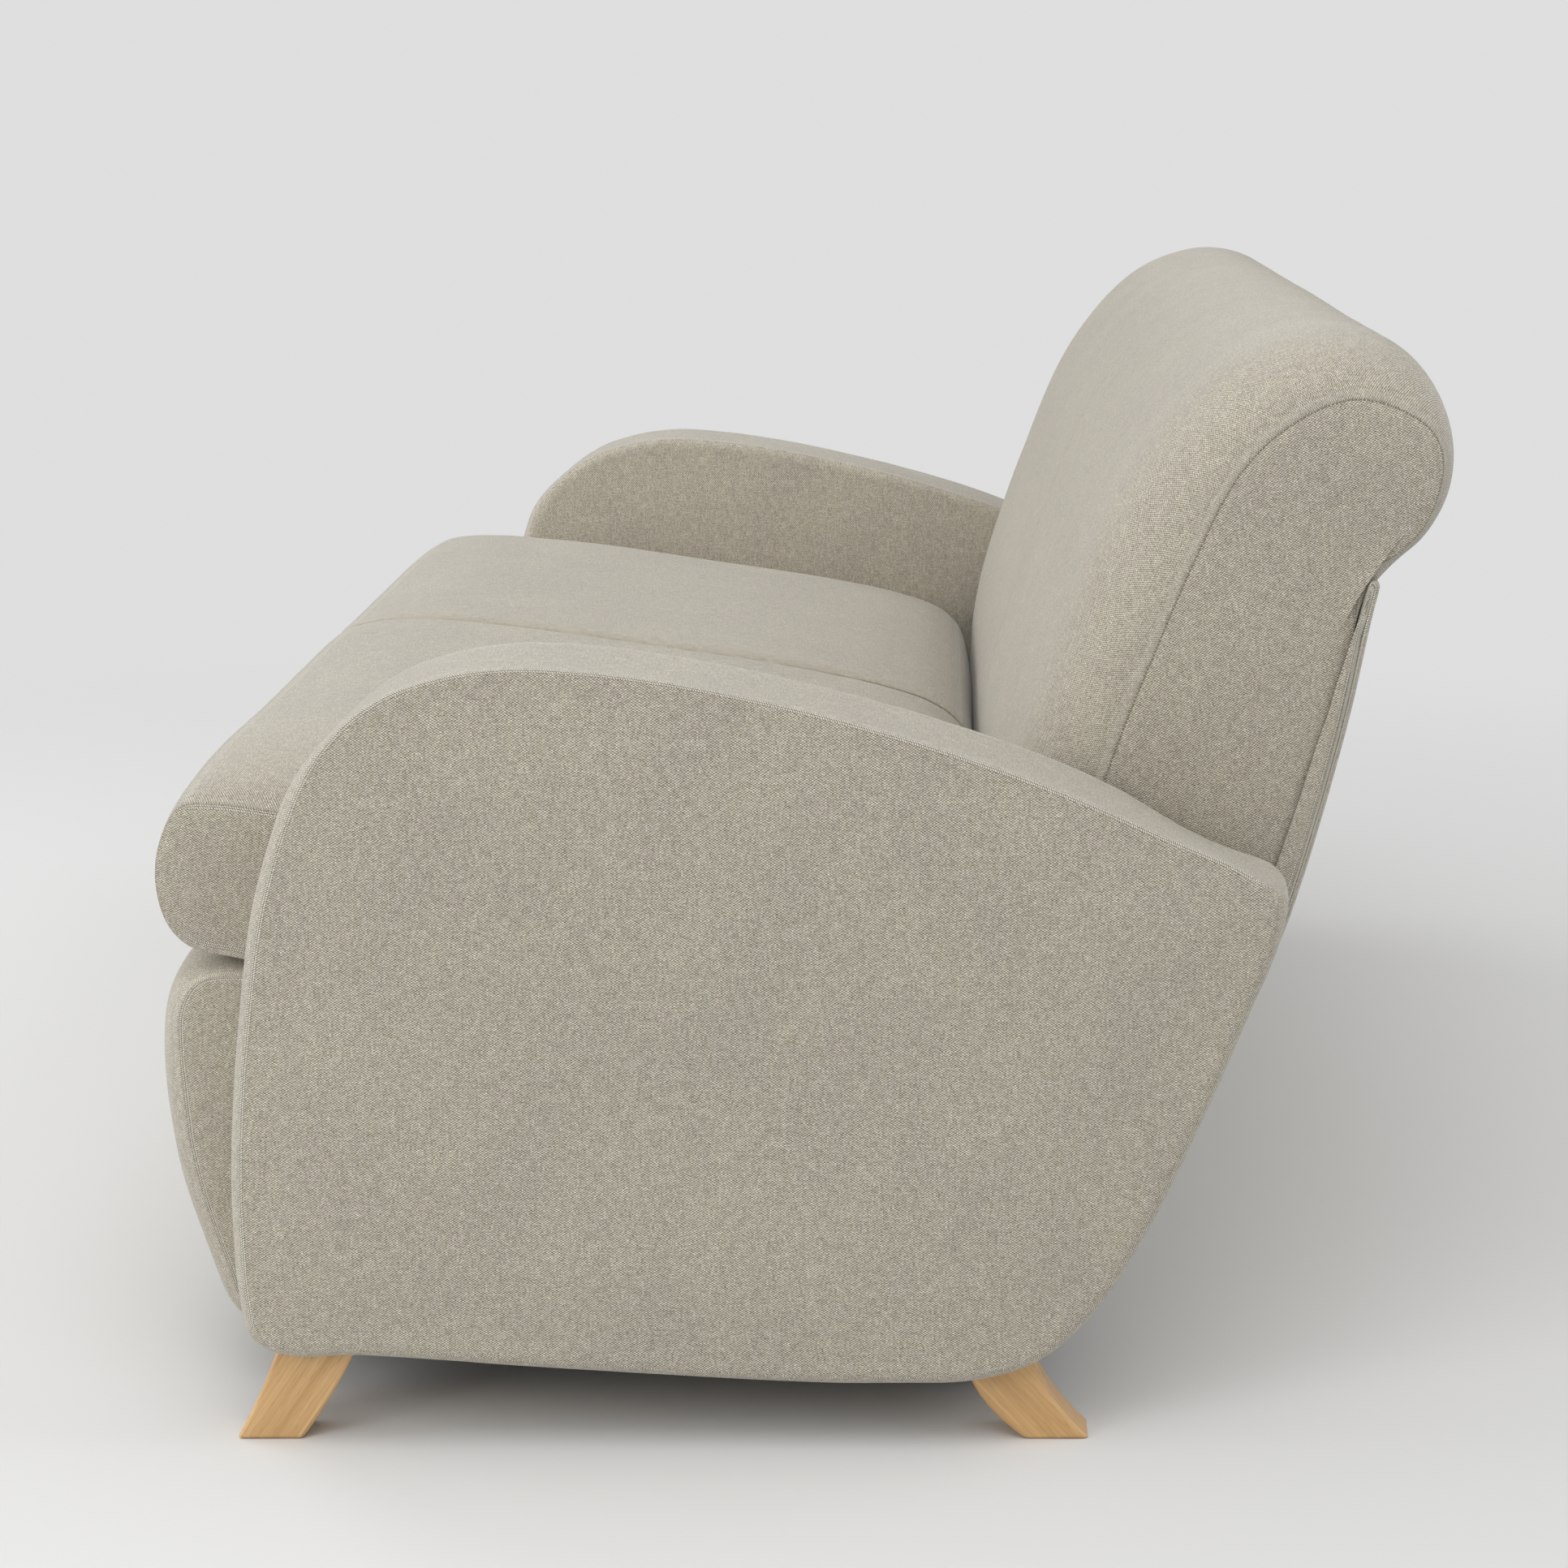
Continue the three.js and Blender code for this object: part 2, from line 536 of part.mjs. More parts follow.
// Zigzag springs, laid on the front and rear rails under the deck, in the seat's frame
const springsPerSeat = 4
const springWaves = 7           // whole waves of one spring
const springWaveWidth = 46
const springSides = 5
const springStepsPerWave = 6
const railLineY = y => (y - seatY) / Math.cos(pitch)
const springFromY = railLineY(frontRailFrontY + railThickness / 2) + springWire
const springToY = railLineY(rearRailRearY - railThickness / 2) - springWire
const springZ = -deckThickness - 2 * fitGap - springWire / 2
const springClearX = railThickness / 2 + springWaveWidth / 2
const springForm = () => {
  const steps = springWaves * springStepsPerWave
  const path = Array.from({ length: steps + 1 }, (_, i) => {
    const share = i / steps
    const side = Math.sin(share * springWaves * 2 * Math.PI) * springWaveWidth / 2
    return new THREE.Vector3(side, THREE.MathUtils.lerp(springFromY, springToY, share), springZ)
  })
  const section = Array.from({ length: springSides }, (_, i) => {
    const turn = i / springSides * 2 * Math.PI
    return point(Math.cos(turn), Math.sin(turn)).multiplyScalar(springWire / 2)
  })
  return new THREE.ExtrudeGeometry(new THREE.Shape(section), {
    steps, extrudePath: new THREE.CatmullRomCurve3(path), bevelEnabled: false,
  })
}
const springPitch = (sideRailInnerX - springClearX) / springsPerSeat
for (const [side, sign] of Object.entries(cushionSides)) {
  for (let i = 0; i < springsPerSeat; i++) {
    const geometry = springForm()
    geometry.translate(sign * (springClearX + (i + 1 / 2) * springPitch - springWaveWidth / 2), 0, 0)
    add(`seat_spring_${side}_${i + 1}`, geometry, steel(), seat)
  }
}

// Deck pad over the springs, and the thin cloth that closes the underside
const deckX = halfSeat - fitGap
const deckFrontY = railLineY(frontRailFrontY) + deckThickness * Math.tan(pitch)
const deckRearY = railLineY(rearRailRearY)
const deckForm = block(-deckX, deckX, deckFrontY, deckRearY, -deckThickness - fitGap, -fitGap)
add('seat_deck_pad', deckForm, felt(), seat)
const dustClothThickness = 1.5
const dustTopZ = baseBottom - fitGap
add('dust_cover', block(-crossRailX, crossRailX, frontRailFrontY, rakeAt(outerBottomZ),
  dustTopZ - dustClothThickness, dustTopZ), liningCloth())

// Arms. Shares of armLength from the front, and of the arm's own height from its underside.
const armShares = [
  [0.000, 0.223], [0.003, 0.369], [0.015, 0.521], [0.030, 0.654], [0.052, 0.763], [0.075, 0.842],
  [0.110, 0.908], [0.153, 0.956], [0.206, 0.985], [0.273, 1.000], [0.341, 0.997], [0.446, 0.977],
  [0.558, 0.942], [0.684, 0.890], [0.782, 0.840], [0.889, 0.773], [0.972, 0.718], [0.998, 0.688],
  [0.996, 0.635], [0.966, 0.512], [0.917, 0.340], [0.870, 0.204], [0.822, 0.100], [0.771, 0.038],
  [0.702, 0.006], [0.636, 0.000], [0.349, 0.015], [0.115, 0.037], [0.045, 0.044], [0.016, 0.067],
  [0.005, 0.125],
]
const armFrontY = frontY + armSetback
const onArm = ([alongShare, upShare]) =>
  point(armFrontY + alongShare * armLength, THREE.MathUtils.lerp(armUndersideHeight, armHeight, upShare))
const armOutline = smooth(armShares.map(onArm), 1).reverse()

// Stations across the arm: shares of armThickness, and of the rounding at the edge of a face
const armFaceDrop = 15
const armStationShares = [
  [0, 1], [0.02, 0.67], [0.07, 0.33], [0.24, 0.11], [0.5, 0], [0.76, 0.11], [0.91, 0.33], [0.96, 0.67],
]
const armDomeShares = [[0.05, 0.98], [0.25, 1]]
const armRings = () => {
  const rounded = armStationShares.map(([share, dropShare]) =>
    [halfSeat + share * armThickness, inset(armOutline, dropShare * armFaceDrop)])
  const face = inset(armOutline, armFaceDrop)
  const dome = armDomeShares.map(([inShare, share]) =>
    [halfSeat + share * armThickness, shrunk(face, inShare)])
  return [...rounded, ...dome]
}

// Arm frame: two plywood sides on a bottom rail. It stands in slots in the padding.
const armEdgePadding = 17
const armOuterWall = 13
const armInnerPlyX = halfSeat + armInnerWall
const armOuterPlyX = halfSeat + armThickness - armOuterWall
const armRailFrontShare = 0.065
const armRailRearShare = 0.735
const armRailHeight = 40
const plyOutline = extra => inset(armOutline, armEdgePadding - extra)
const armRailOutline = (extra, drop) => {
  const fromY = armFrontY + armRailFrontShare * armLength - extra
  const toY = armFrontY + armRailRearShare * armLength + extra
  const under = undersideBetween(armOutline, fromY, toY)
  const top = Math.max(...under.map(p => p.y)) + armRailHeight + extra
  return [...under.map(p => point(p.x, p.y - drop)), point(toY, top), point(fromY, top)]
}
const armRailFromX = armInnerPlyX + plyThickness + fitGap
const armRailToX = armOuterPlyX - plyThickness - fitGap

// Feet, each with a bolt up into the arm's bottom rail. The shares of armLength run from the arm's
// front: the two edges of a foot's top, then its outer edge on the floor.
const footThickness = 36
const footSetback = 25          // from the arm's outer face to the foot
const footX = halfSeat + armThickness - footSetback
const soleLength = 47
const feet = {
  front: { topShares: [0.038, 0.111], floorShare: -0.008, curveShare: 0.24 },
  rear: { topShares: [0.763, 0.702], floorShare: 0.822, curveShare: 0.62 },
}
const footSteps = 8
const footBolt = 50
const footBoltShare = 0.62      // from the outer edge of a foot's top to the inner one
const footEdge = (topY, floorY, curveShare) => {
  const topZ = undersideAt(armOutline, topY).y - fitGap
  return Array.from({ length: footSteps }, (_, i) => {
    const share = (i + 1) / footSteps
    const kick = (1 - curveShare) * share + curveShare * share * share
    return point(THREE.MathUtils.lerp(topY, floorY, kick), topZ * (1 - share))
  })
}
const footForms = Object.entries(feet).map(([end, foot]) => {
  const [outerTopY, innerTopY] = foot.topShares.map(share => armFrontY + share * armLength)
  const towards = Math.sign(innerTopY - outerTopY)
  const floorY = armFrontY + foot.floorShare * armLength
  const outer = footEdge(outerTopY, floorY, foot.curveShare)
  const inner = footEdge(innerTopY, floorY + towards * soleLength, foot.curveShare)
  const [nearY, farY] = [outerTopY, innerTopY].sort((a, b) => a - b)
  const top = undersideBetween(armOutline, nearY, farY).map(p => point(p.x, p.y - fitGap))
  const outline = [...(towards > 0 ? top.reverse() : top), ...outer, ...inner.reverse()]
  const boltY = THREE.MathUtils.lerp(outerTopY, innerTopY, footBoltShare)
  const boltZ = undersideAt(armOutline, boltY).y
  const shaft = rod(boltRadius, footBolt)
  const hole = rod(boltRadius + holeGap, footBolt + 2 * fitGap)
  for (const geometry of [shaft, hole]) {
    geometry.rotateX(Math.PI / 2)
    geometry.translate(footX - footThickness / 2, boltY, boltZ)
  }
  const solid = board(outline, footX - footThickness, footX)
  return { end, form: cut(solid, [hole]), bolt: shaft, hole }
})

const armPly = (fromX, holes) => cut(board(plyOutline(0), fromX, fromX + plyThickness), holes)
const armRail = board(armRailOutline(0, 0), armRailFromX, armRailToX)
const sideRailSlot = [
  point(sideRailFrontY - fitGap, baseBottom - fitGap), point(sideRailRearY + fitGap, baseBottom - fitGap),
  point(sideRailRearY + fitGap, railTopAt(sideRailRearY) + fitGap),
  point(sideRailFrontY - fitGap, railTopAt(sideRailFrontY) + fitGap),
]
const armPad = cut(loft(armRings()), [
  board(plyOutline(fitGap), armInnerPlyX - fitGap, armRailFromX),
  board(plyOutline(fitGap), armRailToX, armOuterPlyX + fitGap),
  board(armRailOutline(fitGap, cutOverrun), armRailFromX - plyThickness, armRailToX + plyThickness),
  board(sideRailSlot, halfSeat - cutOverrun, armInnerPlyX + fitGap),
])

const rightArm = {
  arm_pad: [armPad, linen],
  arm_inner_ply: [armPly(armInnerPlyX, armBolts.map(bolt => bolt.hole)), plywood],
  arm_outer_ply: [armPly(armOuterPlyX - plyThickness, []), plywood],
  arm_bottom_rail: [cut(armRail, footForms.map(foot => foot.hole)), beech],
  base_side_rail: [sideRail, beech],
  corner_block_front: [cornerBlocks.front, beech],
  corner_block_rear: [cornerBlocks.rear, beech],
}
for (const bolt of armBolts) rightArm[`arm_bolt_${bolt.end}`] = [bolt.form, steel]
for (const foot of footForms) {
  rightArm[`foot_${foot.end}`] = [foot.form, oak]
  rightArm[`foot_bolt_${foot.end}`] = [foot.bolt, steel]
}
for (const [name, [geometry, material]] of Object.entries(rightArm)) {
  add(`${name}_right`, geometry, material())
  add(`${name}_left`, mirrored(geometry), material())
}

export default sofa
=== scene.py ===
import math

import bmesh
import bpy
import numpy as np
from mathutils import Matrix, Vector, noise


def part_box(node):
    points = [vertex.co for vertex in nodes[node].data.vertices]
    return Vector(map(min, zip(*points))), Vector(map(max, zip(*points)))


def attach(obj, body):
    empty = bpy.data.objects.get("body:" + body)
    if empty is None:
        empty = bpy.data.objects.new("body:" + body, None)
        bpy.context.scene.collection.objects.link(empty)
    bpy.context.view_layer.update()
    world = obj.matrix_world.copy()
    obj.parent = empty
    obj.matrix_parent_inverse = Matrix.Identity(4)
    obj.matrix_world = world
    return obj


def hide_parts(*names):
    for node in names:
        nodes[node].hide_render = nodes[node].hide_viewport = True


# Two-seat sofa with slab arms, a back that rolls over at the top and two loose cushions.
# The frame comes packed, in metres. This script makes the covers, feet and finishes round it.
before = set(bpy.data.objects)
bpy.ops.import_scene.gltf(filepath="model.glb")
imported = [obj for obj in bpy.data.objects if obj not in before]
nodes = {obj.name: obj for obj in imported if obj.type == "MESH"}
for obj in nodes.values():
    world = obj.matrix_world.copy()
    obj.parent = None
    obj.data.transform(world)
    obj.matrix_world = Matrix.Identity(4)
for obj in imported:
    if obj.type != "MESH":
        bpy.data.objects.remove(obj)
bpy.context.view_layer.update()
print("frame loaded:", len(nodes), "nodes")

mm = 0.001
sides = {"right": 1, "left": -1}


def placed(name, data):
    made = bpy.data.objects.new(name, data)
    bpy.context.scene.collection.objects.link(made)
    return made


# Camera, at the photograph's place and angle
camera = {"place": (3.0769, 0.101, 0.96044), "pitch": 11.8336, "lens": 78.26, "sensor": 36, "shift": -0.0963}


def placeCamera():
    lens = bpy.data.cameras.new("camera")
    lens.lens = camera["lens"]
    lens.sensor_width = camera["sensor"]
    lens.shift_x = camera["shift"]
    eye = placed("camera", lens)
    eye.location = camera["place"]
    eye.rotation_euler = (math.radians(90 - camera["pitch"]), 0, math.radians(90))
    bpy.context.scene.camera = eye


placeCamera()
print("camera placed")


# Shader tools: a wire is one output socket, and sums on it add Math nodes
class Wire:
    def __init__(self, finish, socket):
        self.finish = finish
        self.socket = socket

    def math(self, operation, first, second=None):
        return self.finish.node("ShaderNodeMath", {"operation": operation}, {0: first, 1: second})

    def __add__(self, other):
        return self.math("ADD", self, other)

    __radd__ = __add__

    def __sub__(self, other):
        return self.math("SUBTRACT", self, other)

    def __rsub__(self, other):
        return self.math("SUBTRACT", other, self)

    def __mul__(self, other):
        return self.math("MULTIPLY", self, other)

    __rmul__ = __mul__

    def __pow__(self, other):
        return self.math("POWER", self, other)

    def __abs__(self):
        return self.math("ABSOLUTE", self)

    def sine(self):
        return self.math("SINE", self)

    def between(self, low, high):
        # 0 below low, 1 above high, smooth in between
        settings = {"interpolation_type": "SMOOTHSTEP"}
        return self.finish.node("ShaderNodeMapRange", settings, {0: self, 1: low, 2: high, 3: 0.0, 4: 1.0})


class Finish:
    def __init__(self, name, roughness=0.8, **fixed):
        self.material = bpy.data.materials.new(name)
        self.material.use_nodes = True
        self.tree = self.material.node_tree
        self.shader = self.tree.nodes["Principled BSDF"]
        self.shader.inputs["Roughness"].default_value = roughness
        for socket, value in fixed.items():
            self.shader.inputs[socket.replace("_", " ")].default_value = value

    def node(self, kind, settings=None, values=None, output=0):
        made = self.tree.nodes.new(kind)
        for key, value in (settings or {}).items():
            setattr(made, key, value)
        for key, value in (values or {}).items():
            if isinstance(value, Wire):
                self.tree.links.new(value.socket, made.inputs[key])
            elif value is not None:
                made.inputs[key].default_value = value
        return Wire(self, made.outputs[output])

    def mix(self, factor, first, second, blend="MIX"):
        first, second = [(*c, 1) if isinstance(c, tuple) else c for c in (first, second)]
        settings = {"data_type": "RGBA", "blend_type": blend}
        return self.node("ShaderNodeMix", settings, {0: factor, 6: first, 7: second}, output=2)

    def split(self, vector):
        return [self.node("ShaderNodeSeparateXYZ", None, {0: vector}, output=k) for k in range(3)]

    def join(self, x=0.0, y=0.0, z=0.0):
        return self.node("ShaderNodeCombineXYZ", None, {0: x, 1: y, 2: z})

    def uv(self, name):
        return self.split(self.node("ShaderNodeUVMap", {"uv_map": name}))[:2]

    def place(self):
        return self.node("ShaderNodeTexCoord", None, None, output=3)

    def noise(self, place, scale=1.0, detail=2, rough=0.5):
        # place is a vector, or the parts of one
        vector = self.join(*place) if isinstance(place, tuple) else place
        return self.node("ShaderNodeTexNoise", None, {0: vector, 2: scale, 3: detail, 4: rough})

    def wear(self, color, height=None, depth=0.0003, strength=1.0, roughness=None):
        # wires the finished pattern into the shader
        self.tree.links.new(color.socket, self.shader.inputs["Base Color"])
        if roughness is not None:
            self.tree.links.new(roughness.socket, self.shader.inputs["Roughness"])
        if height is not None:
            values = {"Strength": strength, "Distance": depth, "Height": height}
            bump = self.node("ShaderNodeBump", None, values)
            self.tree.links.new(bump.socket, self.shader.inputs["Normal"])
        return self.material


# Linen: plain weave of uneven greige yarns; a second map carries each seam's own line
linen = {
    "warpPitch": 1.3 * mm, "weftPitch": 0.88 * mm,
    "gapDark": (0.11, 0.098, 0.06), "gapLight": (0.305, 0.275, 0.205),
    "dark": (0.45, 0.405, 0.333), "light": (0.93, 0.88, 0.805),
    "grey": (1.015, 0.992, 1.02), "olive": (0.985, 1.01, 0.95),
    "twist": 1.75 * mm, "slant": 0.7, "rowHeight": 1.75 * mm, "dash": 3.2 * mm,
    "pale": (0.80, 0.765, 0.69), "bead": (0.82, 0.78, 0.69),
    # where the pale band beside a seam comes and goes, and where the stitches end
    "bandFrom": (-9 * mm, -6 * mm), "bandTo": (-2.2 * mm, -1.6 * mm),
    "beadsTo": (1.5 * mm, 2.1 * mm), "dashesTo": (0.35 * mm, 1.0 * mm),
}


def linenCloth(name="linen_cloth", twisted=True):
    # a seam shows as two rows of twisted beads, or as one row of dashes
    cloth = Finish(name, roughness=0.92, Sheen_Weight=0.35, Sheen_Roughness=0.4, Specular_IOR_Level=0.15)
    u, v = cloth.uv("weave")

    def yarn(across, up, seed, detail, rough):
        # uneven patches, so many to the metre across and up the cloth
        patches = cloth.noise((u * across, v * up, seed), detail=detail, rough=rough)
        return patches.between(0.3, 0.7)

    bend = cloth.noise((u, v), scale=70) - 0.5
    shake = cloth.noise((u * 520, v * 700, 4.0), detail=1) - 0.5
    lift = cloth.noise((u * 520, v * 700, 9.0), detail=1) - 0.5
    columns = (u + bend * 1.6 * mm + shake * 0.75 * mm) * (math.pi / linen["warpPitch"])
    rows = (v + bend * 1.0 * mm + lift * 0.55 * mm) * (math.pi / linen["weftPitch"])
    bead = (columns.sine() * rows.sine()).between(-0.6, 0.8)
    speck = yarn(620, 900, 0.0, 2.0, 0.6)
    hollow = yarn(620, 900, 5.0, 1.0, 0.5)
    slub = yarn(380, 120, 3.0, 2.0, 0.6)
    pick = yarn(110, 520, 7.0, 2.0, 0.6)
    patch = yarn(95, 75, 1.0, 4.0, 0.65)
    cloud = yarn(14, 9, 5.0, 4.0, 0.65)
    tint = yarn(130, 80, 8.0, 3.0, 0.6)
    tone = cloth.mix(speck * 0.6 + slub * 0.2 + pick * 0.2, linen["dark"], linen["light"])
    gap = cloth.mix(hollow, linen["gapDark"], linen["gapLight"])
    color = cloth.mix(bead * 0.9 + speck * 0.1, gap, tone)
    hue = cloth.mix(tint * 0.6 + cloud * 0.4, linen["grey"], linen["olive"])
    color = cloth.mix(1.0, color, hue, blend="MULTIPLY")
    shade = 0.875 + patch * 0.09 + cloud * 0.08 + slub * 0.10 + pick * 0.08
    color = cloth.mix(1.0, color, cloth.join(shade, shade, shade), blend="MULTIPLY")
    height = bead * 0.8 + speck * 0.4
    away, along = cloth.uv("seam")
    band = away.between(*linen["bandFrom"]) * (1 - away.between(*linen["bandTo"]))
    color = cloth.mix(band * 0.12, color, linen["pale"])
    off = abs(away)
    if twisted:
        near = 1 - off.between(*linen["beadsTo"])
        turns = (along + away * linen["slant"]) * (math.pi / linen["twist"]) + shake * 2.4
        strands = abs(turns.sine()).between(0.2, 0.75)
        beads = strands * (off * (math.pi / linen["rowHeight"]) + lift * 0.8).sine().between(0.1, 0.6)
        color = cloth.mix(near * 0.8, color, cloth.mix(beads, linen["gapDark"], linen["bead"]))
        height = height + near * (beads * 0.8 - 0.25)
    else:
        dash = abs((along * (math.pi / linen["dash"]) + shake * 1.5).sine()).between(0.35, 0.7)
        near = (1 - off.between(*linen["dashesTo"])) * (dash * 0.5 + 0.1)
        color = cloth.mix(near, color, linen["gapDark"])
        height = height - near
    return cloth.wear(color, height, depth=0.3 * mm, strength=0.6)


linenFinish = linenCloth()
weltedLinen = linenCloth("linen_welted", twisted=False)
print("linen finished")


# Wood: long grain along one axis, finer lines and short pores in it
# leans are the slopes of the front and rear feet, which their grain follows
woods = {
    "oak": {"light": (0.77, 0.50, 0.235), "dark": (0.54, 0.315, 0.125), "pore": (0.28, 0.145, 0.055),
            "roughness": 0.46, "coat": 0.12, "leans": (0.68, -0.9)},
    "beech": {"light": (0.66, 0.46, 0.27), "dark": (0.54, 0.35, 0.19), "pore": (0.36, 0.20, 0.10),
              "roughness": 0.7, "coat": 0.0},
}


def woodFinish(name, kind, grain):
    look = woods[kind]
    wood = Finish(name, roughness=look["roughness"], Coat_Weight=look["coat"], Coat_Roughness=0.35)
    along = "xyz".index(grain)
    axes = wood.split(wood.place())
    long = axes.pop(along)
    across, deep = axes
    if "leans" in look:
        front, rear = look["leans"]
        deep = deep - long * (front + deep.between(-0.1, 0.0) * (rear - front))
    bend = wood.noise((across * 6, deep * 6, long * 3)) * 0.35
    broad = wood.noise((across * 34 + bend, deep * 34, long * 2.2 + bend), detail=3, rough=0.6)
    streak = wood.noise((across * 130 + bend, deep * 130 + bend, long * 5), detail=3, rough=0.6)
    fine = wood.noise((across * 420, deep * 420, long * 9), detail=3, rough=0.65)
    pores = wood.noise((across * 1300, deep * 1300, long * 55)).between(0.58, 0.72)
    flake = wood.noise((across * 160, deep * 160, long * 60), detail=1).between(0.6, 0.75)
    color = wood.mix(broad.between(0.34, 0.66), look["dark"], look["light"])
    color = wood.mix(streak.between(0.38, 0.62) * 0.5, color, look["dark"])
    color = wood.mix(fine.between(0.35, 0.65) * 0.5, color, look["dark"])
    color = wood.mix(flake * 0.2, color, look["light"])
    color = wood.mix(pores * 0.55, color, look["pore"])
    roughness = fine * 0.18 + (look["roughness"] - 0.06)
    return wood.wear(color, fine * 0.6 - pores, depth=0.12 * mm, strength=0.5, roughness=roughness)


plywood = {
    "face": (0.70, 0.53, 0.34), "line": (0.50, 0.34, 0.19), "glue": (0.24, 0.14, 0.07), "ply": 1.5 * mm,
}


def plywoodFinish():
    # veneers lie across X, so their edges show as bands round the board
    board = Finish("plywood", roughness=0.72)
    place = board.place()
    x, y, z = board.split(place)
    facing = abs(board.split(board.node("ShaderNodeNewGeometry", None, None, output=1))[0])
    figure = board.noise((x * 20, y * 16 + board.noise(place, scale=5) * 1.4, z * 2.2), detail=3)
    fine = board.noise((x * 300, y * 300, z * 10))
    face = board.mix(figure.between(0.35, 0.65) * 0.6 + fine * 0.3, plywood["face"], plywood["line"])
    layer = (x * (math.pi / plywood["ply"])).sine()
    endGrain = board.noise((x * 500, y * 220, z * 220))
    edge = board.mix(layer.between(-0.25, 0.25) * 0.8 + endGrain * 0.2, plywood["face"], plywood["line"])
    edge = board.mix(1 - abs(layer).between(0.05, 0.3), edge, plywood["glue"])
    return board.wear(board.mix(facing.between(0.4, 0.6), edge, face), fine, depth=0.15 * mm, strength=0.5)


metals = {
    "spring_steel": {"tone": (0.36, 0.37, 0.40), "stain": (0.20, 0.19, 0.19), "roughness": 0.36},
    "bolt_steel": {"tone": (0.60, 0.61, 0.63), "stain": (0.42, 0.41, 0.40), "roughness": 0.3},
}


def steelFinish(kind):
    look = metals[kind]
    steel = Finish(kind, roughness=look["roughness"], Metallic=1.0)
    place = steel.place()
    x, y, z = steel.split(place)
    drawn = steel.noise((x * 60, y * 900, z * 900))
    oiled = steel.noise(place, scale=45, detail=3).between(0.4, 0.7)
    color = steel.mix(oiled * 0.7 + drawn * 0.2, look["tone"], look["stain"])
    roughness = oiled * 0.2 + drawn * 0.12 + look["roughness"]
    return steel.wear(color, drawn, depth=0.05 * mm, strength=0.4, roughness=roughness)


webbing = {
    "rib": 1.1 * mm, "pick": 1.6 * mm, "slant": 0.7,
    "dark": (0.035, 0.032, 0.03), "light": (0.13, 0.12, 0.11),
}


def webbingCloth():
    # black elastic tape: ribs close together and a coarser cross weave
    tape = Finish("webbing", roughness=0.85, Sheen_Weight=0.2)
    x, y, z = tape.split(tape.place())
    ribs = ((x + z * webbing["slant"]) * (math.pi / webbing["rib"])).sine()
    picks = ((z - x * webbing["slant"]) * (math.pi / webbing["pick"])).sine()
    fibres = tape.noise((x * 900, y * 900, z * 900))
    weave = (ribs * picks).between(-0.6, 0.6)
    color = tape.mix(weave * 0.6 + fibres * 0.4, webbing["dark"], webbing["light"])
    return tape.wear(color, ribs * picks + fibres, depth=0.25 * mm, strength=0.7)


lining = {"dot": 2.4 * mm, "dark": (0.012, 0.012, 0.014), "light": (0.045, 0.045, 0.05)}


def liningCloth():
    # thin black non-woven cloth with a grid of pressed dots and stray fibres
    cloth = Finish("lining_cloth", roughness=0.9, Specular_IOR_Level=0.25)
    place = cloth.place()
    x, y, z = cloth.split(place)
    waves = math.pi / lining["dot"]
    dots = ((x * waves).sine() * (y * waves).sine()).between(0.45, 0.8)
    fibres = cloth.noise((x * 420, y * 160, z), detail=4, rough=0.7).between(0.35, 0.7)
    color = cloth.mix(fibres * 0.7 + dots * 0.3, lining["dark"], lining["light"])
    return cloth.wear(color, fibres - dots * 0.8, depth=0.2 * mm, strength=0.6)


felting = {"dark": (0.17, 0.175, 0.19), "light": (0.38, 0.385, 0.40), "cloud": (0.30, 0.29, 0.28)}


def feltCloth():
    # pressed grey felt with pale and dark fibres
    felt = Finish("felt", roughness=0.95, Sheen_Weight=0.2, Specular_IOR_Level=0.15)
    place = felt.place()
    x, y, z = felt.split(place)
    curl = felt.noise(place, scale=180, detail=3)
    fibres = felt.noise((x * 500 + curl * 6, y * 240 + curl * 6, z * 500), detail=4, rough=0.7)
    clouds = felt.noise(place, scale=14, detail=3)
    color = felt.mix(fibres.between(0.3, 0.7), felting["dark"], felting["light"])
    color = felt.mix(clouds.between(0.35, 0.65) * 0.25, color, felting["cloud"])
    return felt.wear(color, fibres, depth=0.4 * mm, strength=0.8)


cellFoam = {
    "fresh": (0.84, 0.79, 0.64), "aged": (0.79, 0.71, 0.51), "pore": (0.55, 0.48, 0.33), "cells": 620.0,
}


def foamBlock():
    # open-cell foam: fine pores, and a slight yellowing in clouds
    foam = Finish("foam", roughness=0.9, Specular_IOR_Level=0.2)
    place = foam.place()
    cells = foam.node("ShaderNodeTexVoronoi", None, {0: place, 2: cellFoam["cells"]})
    clouds = foam.noise(place, scale=9, detail=3).between(0.35, 0.7)
    color = foam.mix(clouds, cellFoam["fresh"], cellFoam["aged"])
    color = foam.mix(cells.between(0.25, 0.6) * 0.3, color, cellFoam["pore"])
    return foam.wear(color, 1 - cells, depth=0.5 * mm, strength=0.6)


oakFinish = woodFinish("oak", "oak", "z")
plyFinish = plywoodFinish()
springFinish = steelFinish("spring_steel")
boltFinish = steelFinish("bolt_steel")
webbingFinish = webbingCloth()
liningFinish = liningCloth()
feltFinish = feltCloth()
foamFinish = foamBlock()
beech = woodFinish("beech", "beech", "x")
beechUpright = woodFinish("beechUpright", "beech", "z")
beechDeep = woodFinish("beechDeep", "beech", "y")

